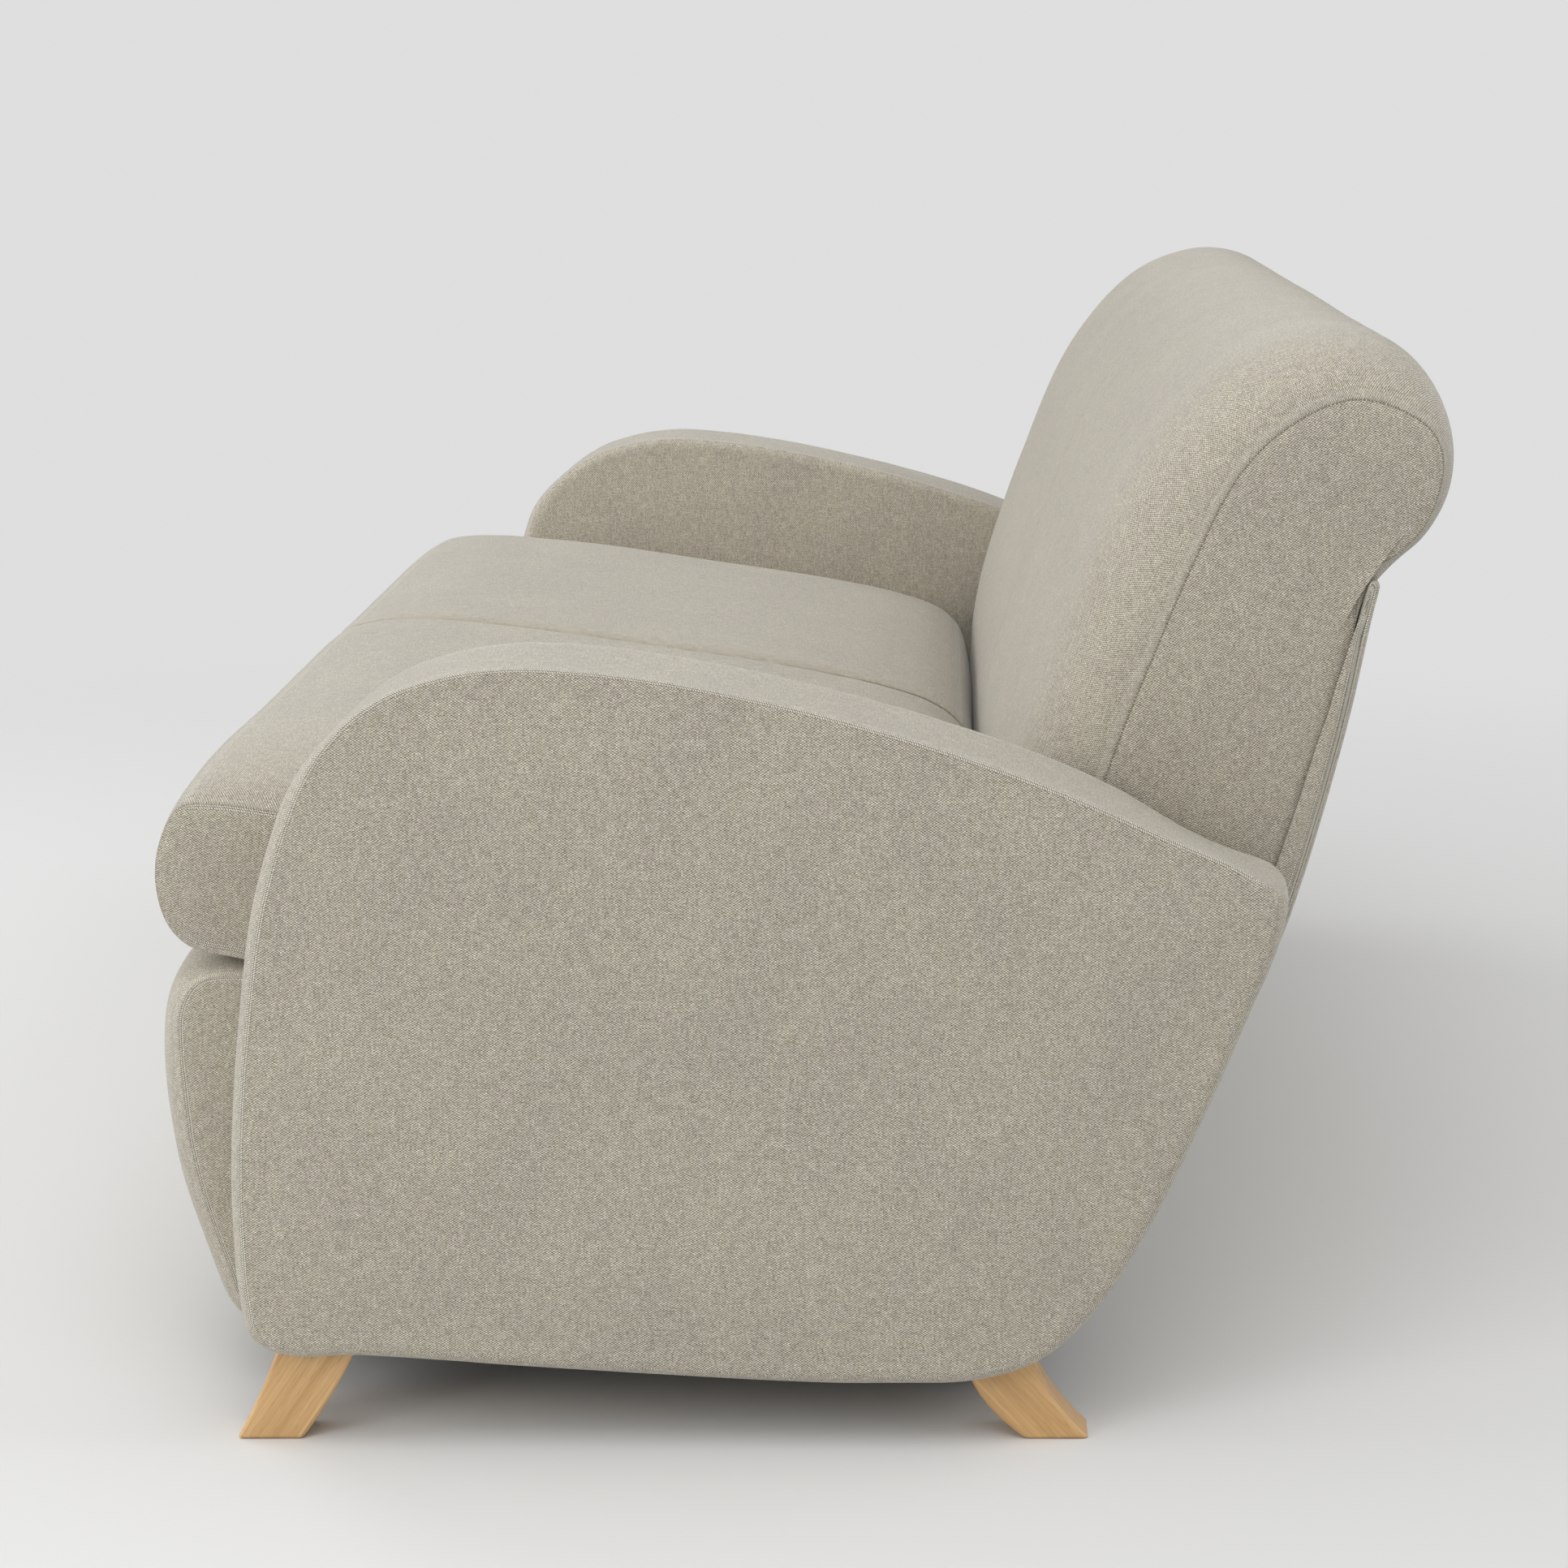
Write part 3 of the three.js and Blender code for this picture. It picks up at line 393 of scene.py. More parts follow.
# Frame nodes that keep their shape, by the start of their names
nodeFinishes = {
    "arm_bolt": boltFinish, "foot_bolt": boltFinish, "seat_spring": springFinish, "back_strap": webbingFinish,
    "dust_cover": liningFinish, "arm_inner_ply": plyFinish, "arm_outer_ply": plyFinish,
    "arm_bottom_rail": beechDeep, "base_side_rail": beechDeep, "base_middle_rail": beechDeep,
    "base_front_rail": beech, "base_rear_rail": beech, "back_lower_rail": beech, "back_top_rail": beech,
    "back_post": beechUpright, "corner_block": beechUpright,
}
for name, node in nodes.items():
    for start, finish in nodeFinishes.items():
        if name.startswith(start):
            for spot in node.material_slots:
                spot.material = finish
print("frame finished")


# Outlines: the frame's own rings of points, made smooth and even, as rows of (y, z)
outline = {"weld": 0.05 * mm, "merge": 3 * mm, "step": 1 * mm, "soften": 6 * mm, "ringPoints": 8}


def sectionOf(node, x):
    # the widest closed line round a solid, anticlockwise from +X, at its ring of points nearest to x
    mesh = nodes[node].data
    places = [round(vert.co.x / outline["weld"]) for vert in mesh.vertices]
    rings = {place for place in set(places) if places.count(place) >= outline["ringPoints"]}
    plane = min(rings, key=lambda place: abs(place * outline["weld"] - x)) * outline["weld"]
    slab = bmesh.new()
    slab.from_mesh(mesh)
    bmesh.ops.remove_doubles(slab, verts=slab.verts, dist=outline["weld"])
    everything = slab.verts[:] + slab.edges[:] + slab.faces[:]
    bmesh.ops.bisect_plane(slab, geom=everything, dist=outline["weld"] * 2, plane_co=(plane, 0, 0),
                           plane_no=(1, 0, 0), clear_inner=True, clear_outer=True)
    loops = []
    left = dict.fromkeys(slab.verts)
    while left:
        spot = next(iter(left))
        loop = []
        while spot:
            left.pop(spot)
            loop.append(np.array(spot.co[1:]))
            beside = [edge.other_vert(spot) for edge in spot.link_edges]
            spot = next((vert for vert in beside if vert in left), None)
        loops.append(thinned(loop))
    slab.free()
    widest = max(loops, key=lambda loop: np.ptp(loop, axis=0).sum())
    return softened(evened(curved(widest if area(widest) > 0 else widest[::-1])), outline["soften"])


def thinned(loop):
    kept = loop[:1]
    for point in loop[1:]:
        if min(math.dist(point, kept[-1]), math.dist(point, kept[0])) > outline["merge"]:
            kept.append(point)
    return np.array(kept)


def area(loop):
    after = np.roll(loop, -1, axis=0)
    return (loop[:, 0] * after[:, 1] - after[:, 0] * loop[:, 1]).sum() / 2


def curved(loop):
    # a smooth curve through the points of a ring, its slopes set by the spacing
    after = np.roll(loop, -1, axis=0)
    gap = np.hypot(*(after - loop).T)[:, None]
    before = np.roll(gap, 1, axis=0)
    slope = (after - loop) / gap
    tangent = (slope * before + np.roll(slope, 1, axis=0) * gap) / (before + gap)
    points = []
    stretches = zip(loop, after, gap[:, 0], tangent, np.roll(tangent, -1, axis=0))
    for start, end, length, leaves, arrives in stretches:
        t = np.linspace(0, 1, max(int(length / outline["step"]), 1), endpoint=False)[:, None]
        ends = start * (1 + 2 * t) * (1 - t) ** 2 + end * t * t * (3 - 2 * t)
        points.append(ends + length * (leaves * t * (1 - t) ** 2 - arrives * t * t * (1 - t)))
    return np.vstack(points)


def evened(loop):
    closed = np.vstack([loop, loop[:1]])
    along = np.concatenate([[0], np.cumsum(np.hypot(*np.diff(closed, axis=0).T))])
    places = np.linspace(0, along[-1], int(along[-1] / outline["step"]), endpoint=False)
    return np.column_stack([np.interp(places, along, closed[:, k]) for k in (0, 1)])


def blurred(loop, width):
    reach = int(3 * width / outline["step"])
    weights = np.exp(-0.5 * (np.arange(-reach, reach + 1) * outline["step"] / width) ** 2)
    weights /= weights.sum()
    wrapped = np.vstack([loop[-reach:], loop, loop[:reach]])
    return np.column_stack([np.convolve(wrapped[:, k], weights, "valid") for k in (0, 1)])


def softened(loop, width):
    # takes small bumps off an outline and keeps its size
    once = blurred(loop, width)
    return 2 * once - blurred(once, width)


def turned(loop, angle):
    c, s = math.cos(angle), math.sin(angle)
    return loop @ np.array([[c, s], [-s, c]])


def normalsOf(loop):
    along = np.roll(loop, -1, axis=0) - np.roll(loop, 1, axis=0)
    along /= np.maximum(np.hypot(*along.T), 1e-9)[:, None]
    return np.column_stack([along[:, 1], -along[:, 0]])


def moved(loop, outwards):
    return loop + normalsOf(loop) * outwards


def pulled(loop, pulls, strength=1.0):
    # shifts stretches of an outline: each pull is a place, its reach and its shift
    for y, z, reach, shiftY, shiftZ in pulls:
        near = np.exp(-((loop[:, :1] - y * mm) ** 2 + (loop[:, 1:] - z * mm) ** 2) / (reach * mm) ** 2)
        loop = loop + near * strength * np.array([[shiftY * mm, shiftZ * mm]])
    return loop


def laidOut(loop, settings):
    # grows an outline, and spaces its points evenly on the four stretches between its corners,
    # which are given as shares of its box
    loop = moved(loop, settings["grow"])
    low, high = loop.min(0), loop.max(0)
    targets = [low + (high - low) * np.array(corner) for corner in settings["corners"]]
    starts = [int(np.argmin(np.hypot(*(loop - target).T))) for target in targets]
    points = []
    for k, first in enumerate(starts):
        length = (starts[(k + 1) % 4] - first) % len(loop)
        steps = np.linspace(0, length, settings["counts"][k % 2], endpoint=False)
        places = (first + steps) % len(loop)
        wrapped = np.vstack([loop, loop[:1]])
        evenly = [np.interp(places, np.arange(len(wrapped)), wrapped[:, j]) for j in (0, 1)]
        points.append(np.column_stack(evenly))
    return np.vstack(points)


# Covers: a skin over a row of outlines, with a grid of cloth at each end
def cover(settings, stations, seams, pitch=0.0, lines=(), boxed=(), inwards=(0.0, 0.0), creased=()):
    # stations are (x, outline); seams are the places in that row where cloth is sewn
    # lines are points of the outline where a seam runs along X; at boxed ones no seam runs round the end
    # inwards is how far in over the end the seam lies, along the bottom and along the top
    # creased seams lie deep between two pieces, and show no stitches
    # each end swells to the height of its dome, within the dome's width from its rim
    counts, (domeHeight, domeWidth) = settings["counts"], settings["dome"]
    if stations[0][0] > stations[-1][0]:
        stations = stations[::-1]
        seams, creased = [[len(stations) - 1 - seam for seam in row] for row in (seams, creased)]
    skin = bmesh.new()
    columns, rows = len(stations) - 1, len(stations[0][1])
    bmesh.ops.create_grid(skin, x_segments=columns, y_segments=rows, size=1)
    weave = skin.loops.layers.uv.new("weave")
    stitch = skin.loops.layers.uv.new("seam")
    points = np.array([np.column_stack([np.full(rows, x), loop]) for x, loop in stations])
    middle = points[columns // 2]
    lengths = np.linalg.norm(np.roll(middle, -1, axis=0) - middle, axis=1)
    along = np.concatenate([[0], np.cumsum(lengths)]) - lengths.sum()
    across = np.concatenate([np.zeros((1, rows)), np.linalg.norm(np.diff(points, axis=0), axis=2).cumsum(0)])
    span = across - across[columns // 2]
    away = np.full((columns + 1, rows), 1.0)
    bare = np.zeros(away.shape, bool)
    seams = sorted(seams)
    for seam in seams:
        gap = (across - across[seam]) * (1 if seam > columns / 2 else -1)
        if abs(seam - columns / 2) < 2:
            gap = np.abs(gap)
        closer = np.abs(gap) < np.abs(away)
        away = np.where(closer, gap, away)
        bare = np.where(closer, seam in creased, bare)
    away[:, :counts[0]] -= inwards[0]
    away[:, sum(counts):sum(counts) + counts[0]] -= inwards[1]
    away[:, list(boxed)] = 1.0
    turning = np.zeros(away.shape, bool)
    for line in lines:
        gap = (along[:-1] - along[line] + lengths.sum() / 2) % lengths.sum() - lengths.sum() / 2
        closer = np.abs(gap) < np.abs(away)
        closer[:seams[0]] = closer[seams[-1] + 1:] = False
        away = np.where(closer, gap, away)
        turning |= closer
        bare &= ~closer
    runs = np.hstack([np.where(turning, span, along[:-1]), np.where(turning[:, :1], span[:, :1], along[-1])])
    spots = {}
    for vert in skin.verts:
        spots[round((vert.co.x + 1) / 2 * columns), round((vert.co.y + 1) / 2 * rows)] = vert
    index = {vert: spot for spot, vert in spots.items()}
    for face in skin.faces:
        for corner in face.loops:
            i, j = index[corner.vert]
            onEnd = max(index[vert][0] for vert in face.verts) <= seams[0]
            onEnd = onEnd or min(index[vert][0] for vert in face.verts) >= seams[-1]
            flat = turned(points[i, j % rows, 1:][None], pitch)[0]
            corner[weave].uv = flat if onEnd else (span[i, j % rows], along[j])
            corner[stitch].uv = (1.0 if bare[i, j % rows] else away[i, j % rows], runs[i, j])
    for (i, j), vert in spots.items():
        vert.co = points[i, j % rows]
    bmesh.ops.weld_verts(skin, targetmap={spots[i, rows]: spots[i, 0] for i in range(columns + 1)})
    sewn = {spots[i, j]: (away[i, j], along[j]) for i in range(columns + 1) for j in range(rows)}
    for end, outwards in ((0, -1), (columns, 1)):
        rim = [spots[end, j] for j in range(rows)]
        rimPoints = np.array([vert.co[1:] for vert in rim])
        stretches = (range(0, counts[0]), range(counts[0] + counts[1], 2 * counts[0] + counts[1]))
        edges = [skin.edges.get((rim[j], rim[(j + 1) % rows])) for stretch in stretches for j in stretch]
        faces = bmesh.ops.grid_fill(skin, edges=edges, use_interp_simple=True)["faces"]
        inner = {vert for face in faces for vert in face.verts} - set(rim)
        for vert in inner:
            gaps = np.hypot(*(rimPoints - np.array(vert.co[1:])).T)
            nearest = int(np.argmin(gaps))
            rise = min(gaps[nearest] / domeWidth, 1)
            vert.co.x += outwards * domeHeight * math.sin(rise * math.pi / 2)
            sewn[vert] = (abs(away[end, nearest]) + gaps[nearest], along[nearest])
        for face in faces:
            for corner in face.loops:
                flat = turned(np.array(corner.vert.co[1:])[None], pitch)[0]
                corner[weave].uv = flat
                corner[stitch].uv = sewn[corner.vert]
    bmesh.ops.recalc_face_normals(skin, faces=skin.faces)
    return skin, sewn


# Seams: ridges with puckers beside them, and the unevenness of the cloth
puckerWidth = 50 * mm


def rising(value, start, over):
    return min(max((value - start) / over, 0), 1)


def relief(shape, away):
    # height at a distance from a seam; a shape is a list of places, widths and heights in mm
    bumps = [(place * mm, width * mm, height * mm) for place, width, height in shape]
    return sum(height * math.exp(-0.5 * ((away - place) / width) ** 2) for place, width, height in bumps)


def drape(swell, swellSize, crease, creaseSize, pucker=0, puckerSize=1, puckerReach=1):
    # how unevenly a cloth lies, in mm; puckers are the short waves beside its seams
    given = {"swell": swell, "swellSize": swellSize, "crease": crease, "creaseSize": creaseSize,
             "pucker": pucker, "puckerSize": puckerSize, "puckerReach": puckerReach}
    return {key: value * mm for key, value in given.items()}


def unevenness(point, lies):
    # long swells and short creases of stretched cloth
    swell = noise.noise(Vector(point) / lies["swellSize"]) * lies["swell"]
    crease = noise.noise(Vector(point) / lies["creaseSize"] + Vector((9, 4, 2))) * lies["crease"]
    return swell + crease


def sewCover(settings, skin, sewn, strength=lambda point: 1.0, calm=lambda point: 1.0):
    # moves each point along its normal: seams, puckers beside them, and the cloth's own unevenness
    lies = settings["cloth"]
    skin.normal_update()
    shifts = []
    for vert in skin.verts:
        away, along = sewn[vert]
        pull = noise.noise(Vector((along / lies["puckerSize"], away / puckerWidth, 0)))
        pucker = pull * lies["pucker"] * math.exp(-abs(away) / lies["puckerReach"])
        seam = (relief(settings["relief"], away) + pucker) * strength(vert.co)
        shifts.append((vert, vert.normal.copy() * (seam + unevenness(vert.co, lies) * calm(vert.co))))
    for vert, shift in shifts:
        vert.co += shift


def finished(name, skin, body, replaced, finish=None, levels=1):
    mesh = bpy.data.meshes.new(name)
    bmesh.ops.recalc_face_normals(skin, faces=skin.faces)
    for face in skin.faces:
        face.smooth = True
    skin.to_mesh(mesh)
    skin.free()
    piece = placed(name, mesh)
    mesh.materials.append(finish or linenFinish)
    if levels:
        smoothing = piece.modifiers.new("smoothing", "SUBSURF")
        smoothing.levels = smoothing.render_levels = levels
    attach(piece, body)
    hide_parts(*replaced)
    return piece


# Arms
arm = {
    "counts": (62, 52), "ring": 105.6 * mm, "width": 112.2, "grow": 5.5 * mm,
    "corners": ((0, 0), (1, 0), (1, 1), (0, 1)), "dome": (4.5 * mm, 70 * mm),
    # across the arm from its inner face, in mm: place, then drop below the crown on top and round the edges
    "profile": [
        (0.2, 21, 21), (0.2, 16, 16), (1.0, 12.2, 12.2), (2.6, 9.2, 9.2), (4.6, 7.2, 7.2), (6.0, 6.3, 6.3),
        (7.2, 5.7, 5.5), (8.4, 5.2, 4.8), (10, 4.9, 3.4), (13, 4.8, 2.2), (20, 4.7, 0.4), (30, 4.7, -0.9),
        (42, 4.8, -1.8), (56, 4.9, -2.2), (70, 5.1, -2.0), (82, 5.3, -1.5), (92, 5.3, -0.8), (98, 5.1, 0.2),
        (102.5, 5.0, 1.5), (105.5, 5.0, 3.0), (107.6, 5.1, 4.4), (109.2, 5.4, 5.8), (110.4, 5.9, 7.3),
        (111.2, 6.9, 9.2), (111.8, 8.9, 11.6), (112.1, 12, 14.2), (112.2, 16.5, 17.5), (112.2, 22, 22),
    ],
    "seams": (7, 23), "topFacing": (0.3, 0.85),
    # the cloth turns over without a seam at the rear, and where the outline faces down behind its front edge
    "plainBelow": -0.3, "plainBehind": -0.6, "plainRear": 0.6,
    # the inner face, against the seat, is almost flat
    "innerFace": 3 * mm, "innerCalm": 0.25,
    "pulls": [(-20, 50, 330, 0, -1.0), (-400, 62, 60, -3, -7), (150, 62, 70, 4, -3)],
    "leftPulls": [(-60, 560, 210, 0, -5), (-345, 480, 70, -4, 4)],
    # the inner edge sags where the arm meets the back
    "innerPulls": [(296, 432, 46, 0, -10), (352, 392, 26, 6, 3)],
    "relief": [(0, 1.3, 0.3), (2.8, 1.0, -0.2), (-3.0, 1.2, -0.3)],
    "cloth": drape(1.2, 160, 0.25, 35, 0.8, 14, 14),
}


def eased(value, low, high):
    share = np.clip((value - low) / (high - low), 0, 1)
    return share * share * (3 - 2 * share)


def armCover(side):
    node = f"arm_pad_{side}"
    low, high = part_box(node)
    inner, out = low.x if side == "right" else high.x, sides[side]
    loop = pulled(laidOut(sectionOf(node, inner + out * arm["ring"]), arm), arm["pulls"])
    if side == "left":
        loop = pulled(loop, arm["leftPulls"])
    facing = normalsOf(loop)
    top = eased(facing[:, 1:], *arm["topFacing"])
    stations = []
    for place, onTop, onEdge in arm["profile"]:
        row = moved(loop, -(onTop * top + onEdge * (1 - top)) * mm)
        row = pulled(row, arm["innerPulls"], 1 - place / arm["width"])
        stations.append((inner + out * place * mm, row))
    under = (facing[:, 1] < arm["plainBelow"]) & (facing[:, 0] > arm["plainBehind"])
    plain = np.flatnonzero(under | (facing[:, 0] > arm["plainRear"]))
    skin, sewn = cover(arm, stations, arm["seams"], boxed=plain)
    innerFace = inner + out * arm["innerFace"]

    def calm(point):
        return arm["innerCalm"] if (point.x - innerFace) * out < 0 else 1.0

    sewCover(arm, skin, sewn, calm=calm)
    finished(f"arm_cover_{side}", skin, "frame", [node])


for side in sides:
    armCover(side)
print("arms covered")

# Rounded ends: degrees of the turn out to the seam, then how far in and out the cloth goes past it
roundingAngles = [0, 12, 24, 35, 45, 54, 62, 69, 74, 78, 81, 84, 86.5, 88.5, 90]
sewnAt = len(roundingAngles) - 1
tuckedIn = [(1.2 * mm, 0.2 * mm), (2.6 * mm, 0.7 * mm), (4.5 * mm, 1.3 * mm), (8 * mm, 2.2 * mm)]


def endStations(middle, seam, fromX, seamX, rounding=roundingAngles, tuck=tuckedIn):
    # outlines from the straight middle over the rounding to the seam, and in over the end panel
    angles = [math.radians(angle) for angle in rounding]
    over = [(fromX + (seamX - fromX) * math.sin(a), seam + (middle - seam) * math.cos(a)) for a in angles]
    side = 1 if seamX > fromX else -1
    return over + [(seamX + side * out, moved(seam, -inwards)) for inwards, out in tuck]


def joined(settings, middle, right, left=None):
    # one row of outlines from two ends that run outwards, and the places of the seams in it
    left = left or [(-x, loop) for x, loop in right]
    straight = np.linspace(left[0][0], right[0][0], settings["middleSteps"])[1:-1]
    stations = left[::-1] + [(x, middle) for x in straight] + right
    return stations, [len(left) - 1 - sewnAt, len(stations) - len(right) + sewnAt]


# Seat cushions
cushion = {
    "counts": (74, 20), "corners": ((0, 0), (1, 0), (1, 1), (0, 1)),
    "dome": (2.4 * mm, 40 * mm), "outerRound": 200 * mm, "innerRound": 22 * mm,
    "ring": 100 * mm, "seamPulls": [(-300, 440, 90, 0, -1)],
    "pulls": [(-460, 395, 62, -4, 0), (-440, 440, 45, -1.5, 0.5), (-455, 315, 45, -5, -1)],
    "innerDrop": 0.14, "lines": (0, 74, 94, 168), "boxed": [*range(75, 94), *range(169, 188)],
    "inwards": (6.5 * mm, 2.2 * mm), "panel": 5 * mm, "pitch": math.radians(-8.3),
    "middleSteps": 22, "grow": -0.5 * mm,
    # flat where it rests, and weaker seams near its front
    "rests": 12 * mm, "restsOver": 30 * mm, "seamsFrom": 12 * mm, "seamsOver": 45 * mm, "weakest": 0.35,
    "relief": [(0, 1.3, -0.7), (-4.5, 2.0, 0.3), (4.5, 2.0, 0.3)],
    "cloth": drape(1.6, 200, 0.3, 50, 0.9, 16, 18),
}


def cushionCover(side):
    node = f"seat_cushion_{side}"
    low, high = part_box(node)
    outerX, innerX = (high.x, low.x) if side == "right" else (low.x, high.x)
    out = sides[side]
    seamX, innerSeamX = outerX - out * cushion["panel"], innerX + out * cushion["panel"]

    def sectionAt(x):
        level = laidOut(turned(sectionOf(node, x), -cushion["pitch"]), cushion)
        return pulled(turned(level, cushion["pitch"]), cushion["pulls"])

    middle = sectionAt(outerX - out * cushion["ring"])
    seam = pulled(sectionAt(seamX), cushion["seamPulls"])
    innerSeam = middle + (seam - middle) * cushion["innerDrop"]
    outerFrom, innerFrom = seamX - out * cushion["outerRound"], innerSeamX + out * cushion["innerRound"]
    inner = endStations(middle, innerSeam, innerFrom, innerSeamX)
    outer = endStations(middle, seam, outerFrom, seamX)
    stations, seams = joined(cushion, middle, outer, inner)
    skin, sewn = cover(cushion, stations, seams, -cushion["pitch"], cushion["lines"], cushion["boxed"],
                       cushion["inwards"], seams[:1])
    cushionCore(side, middle, innerSeam, seam, innerSeamX, seamX)
    cushionZip(side, middle)
    corner = turned(middle, -cushion["pitch"]).min(0)

    def seatPlace(point):
        return turned(np.array([[point.y, point.z]]), -cushion["pitch"])[0] - corner

    def calm(point):
        return rising(seatPlace(point)[1], cushion["rests"], cushion["restsOver"])

    def strength(point):
        share = rising(seatPlace(point)[0], cushion["seamsFrom"], cushion["seamsOver"])
        return max(share, cushion["weakest"])

    sewCover(cushion, skin, sewn, strength, calm)
    finished(f"cushion_cover_{side}", skin, f"{side}_cushion", [node])


# Foam core inside each cushion: a cut block with softened edges
core = {
    "inset": 12 * mm, "endInset": 9 * mm, "round": 150 * mm, "innerRound": 24 * mm, "middleSteps": 12,
    "counts": cushion["counts"], "dome": (0.6 * mm, 40 * mm),
    "relief": [(0, 2, -0.4)],
    "cloth": drape(0.5, 100, 0.15, 20),
}


def cushionCore(side, middle, innerSeam, seam, innerSeamX, seamX):
    out = sides[side]
    foam, innerEnd, outerEnd = [moved(loop, -core["inset"]) for loop in (middle, innerSeam, seam)]
    innerX, outerX = innerSeamX + out * core["endInset"], seamX - out * core["endInset"]
    innerFrom, outerFrom = innerX + out * core["innerRound"], outerX - out * core["round"]
    inner = endStations(foam, innerEnd, innerFrom, innerX, roundingAngles[::2], tuckedIn[:2])
    outer = endStations(foam, outerEnd, outerFrom, outerX, roundingAngles[::2], tuckedIn[:2])
    stations = joined(core, foam, outer, inner)[0]
    skin, sewn = cover(core, stations, [1, len(stations) - 2])
    sewCover(core, skin, sewn)
    replaced = [f"cushion_core_{side}"]
    finished(f"foam_core_{side}", skin, f"{side}_cushion", replaced, foamFinish)


# Zip along the back of each cushion: two tapes, a row of teeth, a slider and its pull
zipper = {
    "proud": 0.5 * mm, "tapeHeight": 7 * mm, "tapeThick": 0.7 * mm, "gap": 1.6 * mm, "ends": 6 * mm,
    "tooth": (1.25 * mm, 1.3 * mm, 3.2 * mm), "pitch": 2.1 * mm, "stagger": 0.4 * mm,
    "slider": (9 * mm, 2.6 * mm, 8 * mm), "pull": (4.5 * mm, 1.1 * mm, 22 * mm), "softened": 0.5 * mm,
}


def block(form, size, place, softened=0.0):
    # a small block of a given size, its edges softened
    known = set(form.verts)
    made = bmesh.ops.create_cube(form, size=1)["verts"]
    bmesh.ops.scale(form, vec=size, verts=made)
    if softened:
        edges = [edge for edge in form.edges if edge.verts[0] not in known]
        bmesh.ops.bevel(form, geom=edges, offset=softened, segments=2, profile=0.5,
                        affect="EDGES", material=-1)
        made = [vert for vert in form.verts if vert not in known]
    bmesh.ops.translate(form, vec=place, verts=made)


def cushionZip(side, middle):
    node = f"cushion_zip_{side}"
    low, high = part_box(node)
    level = (low.z + high.z) / 2
    behind = middle[:, 0] > middle[:, 0].mean()
    nearest = int(np.argmin(np.where(behind, np.abs(middle[:, 1] - level), 1)))
    facing = normalsOf(middle)[nearest]
    spot = middle[nearest] + facing * zipper["proud"]
    lean = math.atan2(facing[1], facing[0])
    length = high.x - low.x

    def seated(form, made):
        bmesh.ops.rotate(form, cent=(0, 0, 0), matrix=Matrix.Rotation(lean, 3, "X"), verts=made)
        bmesh.ops.translate(form, vec=((low.x + high.x) / 2, *spot), verts=made)

    tapes = bmesh.new()
    for up in (1, -1):
        height = zipper["tapeHeight"]
        block(tapes, (length, zipper["tapeThick"], height), (0, 0, up * (height + zipper["gap"]) / 2))
    seated(tapes, tapes.verts)
    finished(f"zip_tape_{side}", tapes, f"{side}_cushion", [node], webbingFinish, 0)
    teeth = bmesh.new()
    count = int((length - 2 * zipper["ends"]) / zipper["pitch"])
    for k in range(count):
        across = (k - (count - 1) / 2) * zipper["pitch"]
        up = zipper["stagger"] * (1 if k % 2 else -1)
        block(teeth, zipper["tooth"], (across, zipper["tooth"][1] / 2, up))
    sliderX = count / 2 * zipper["pitch"] * -sides[side]
    block(teeth, zipper["slider"], (sliderX, zipper["slider"][1] / 2, 0), zipper["softened"])
    pullPlace = (sliderX, zipper["slider"][1] + zipper["pull"][1], -zipper["pull"][2] / 2)
    block(teeth, zipper["pull"], pullPlace, zipper["softened"])
    seated(teeth, teeth.verts)
    finished(f"zip_teeth_{side}", teeth, f"{side}_cushion", [], springFinish, 0)


for side in sides:
    cushionCover(side)
print("cushions covered")

# Back: padding that rolls over at the top, sewn to flat side panels
back = {
    "counts": (24, 76), "corners": ((0, 0), (0.45, 0), (0.86, 0.685), (0.72, 1)),
    "dome": (3.2 * mm, 50 * mm), "round": 112 * mm, "panel": 6 * mm, "middleSteps": 46,
    "ring": 146 * mm, "lean": math.radians(-10),
    "pulls": [(455, 652, 42, -5, 3)],
    "seamPulls": [(455, 655, 42, -7, 4), (425, 614, 34, -3, 9), (468, 748, 60, -1, -4)],
    "grow": 0.5 * mm, "centre": [-4 * mm, -2 * mm, 0, 2 * mm, 4 * mm],
    # the seams fade over the roll, from this share of the depth on
    "nose": 0.55, "fade": 0.75, "fadeOver": 60 * mm,
    "relief": [(-8, 1.8, -0.25), (-4, 2.6, 0.5), (0, 1.2, -0.5)],
    "cloth": drape(1.0, 300, 0.25, 50, 0.8, 18, 16),
}


def backCover():
    low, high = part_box("back_pad")
    seamX = high.x - back["panel"]

    def sectionAt(x):
        return laidOut(sectionOf("back_pad", x), back)

    middle = pulled(sectionAt(high.x - back["ring"]), back["pulls"])
    seam = pulled(sectionAt(seamX), back["seamPulls"])
    fromX = seamX - back["round"]
    right = endStations(middle, seam, fromX, seamX)
    left = [(-x, loop) for x, loop in right][::-1]
    half = list(np.linspace(fromX, back["centre"][-1], back["middleSteps"] // 2)[1:-1])
    straight = sorted([-x for x in half] + back["centre"] + half)
    stations = left + [(x, middle) for x in straight] + right
    seams = [len(left) - 1 - sewnAt, len(stations) // 2, len(left) + len(straight) + sewnAt]
    skin, sewn = cover(back, stations, seams, back["lean"])
    nose = low.y + (high.y - low.y) * back["nose"]

    def strength(point):
        return 1 - back["fade"] * rising(point.y, nose, back["fadeOver"])

    sewCover(back, skin, sewn, strength)
    finished("back_cover", skin, "frame", ["back_pad"], finish=weltedLinen)


backCover()
print("back covered")

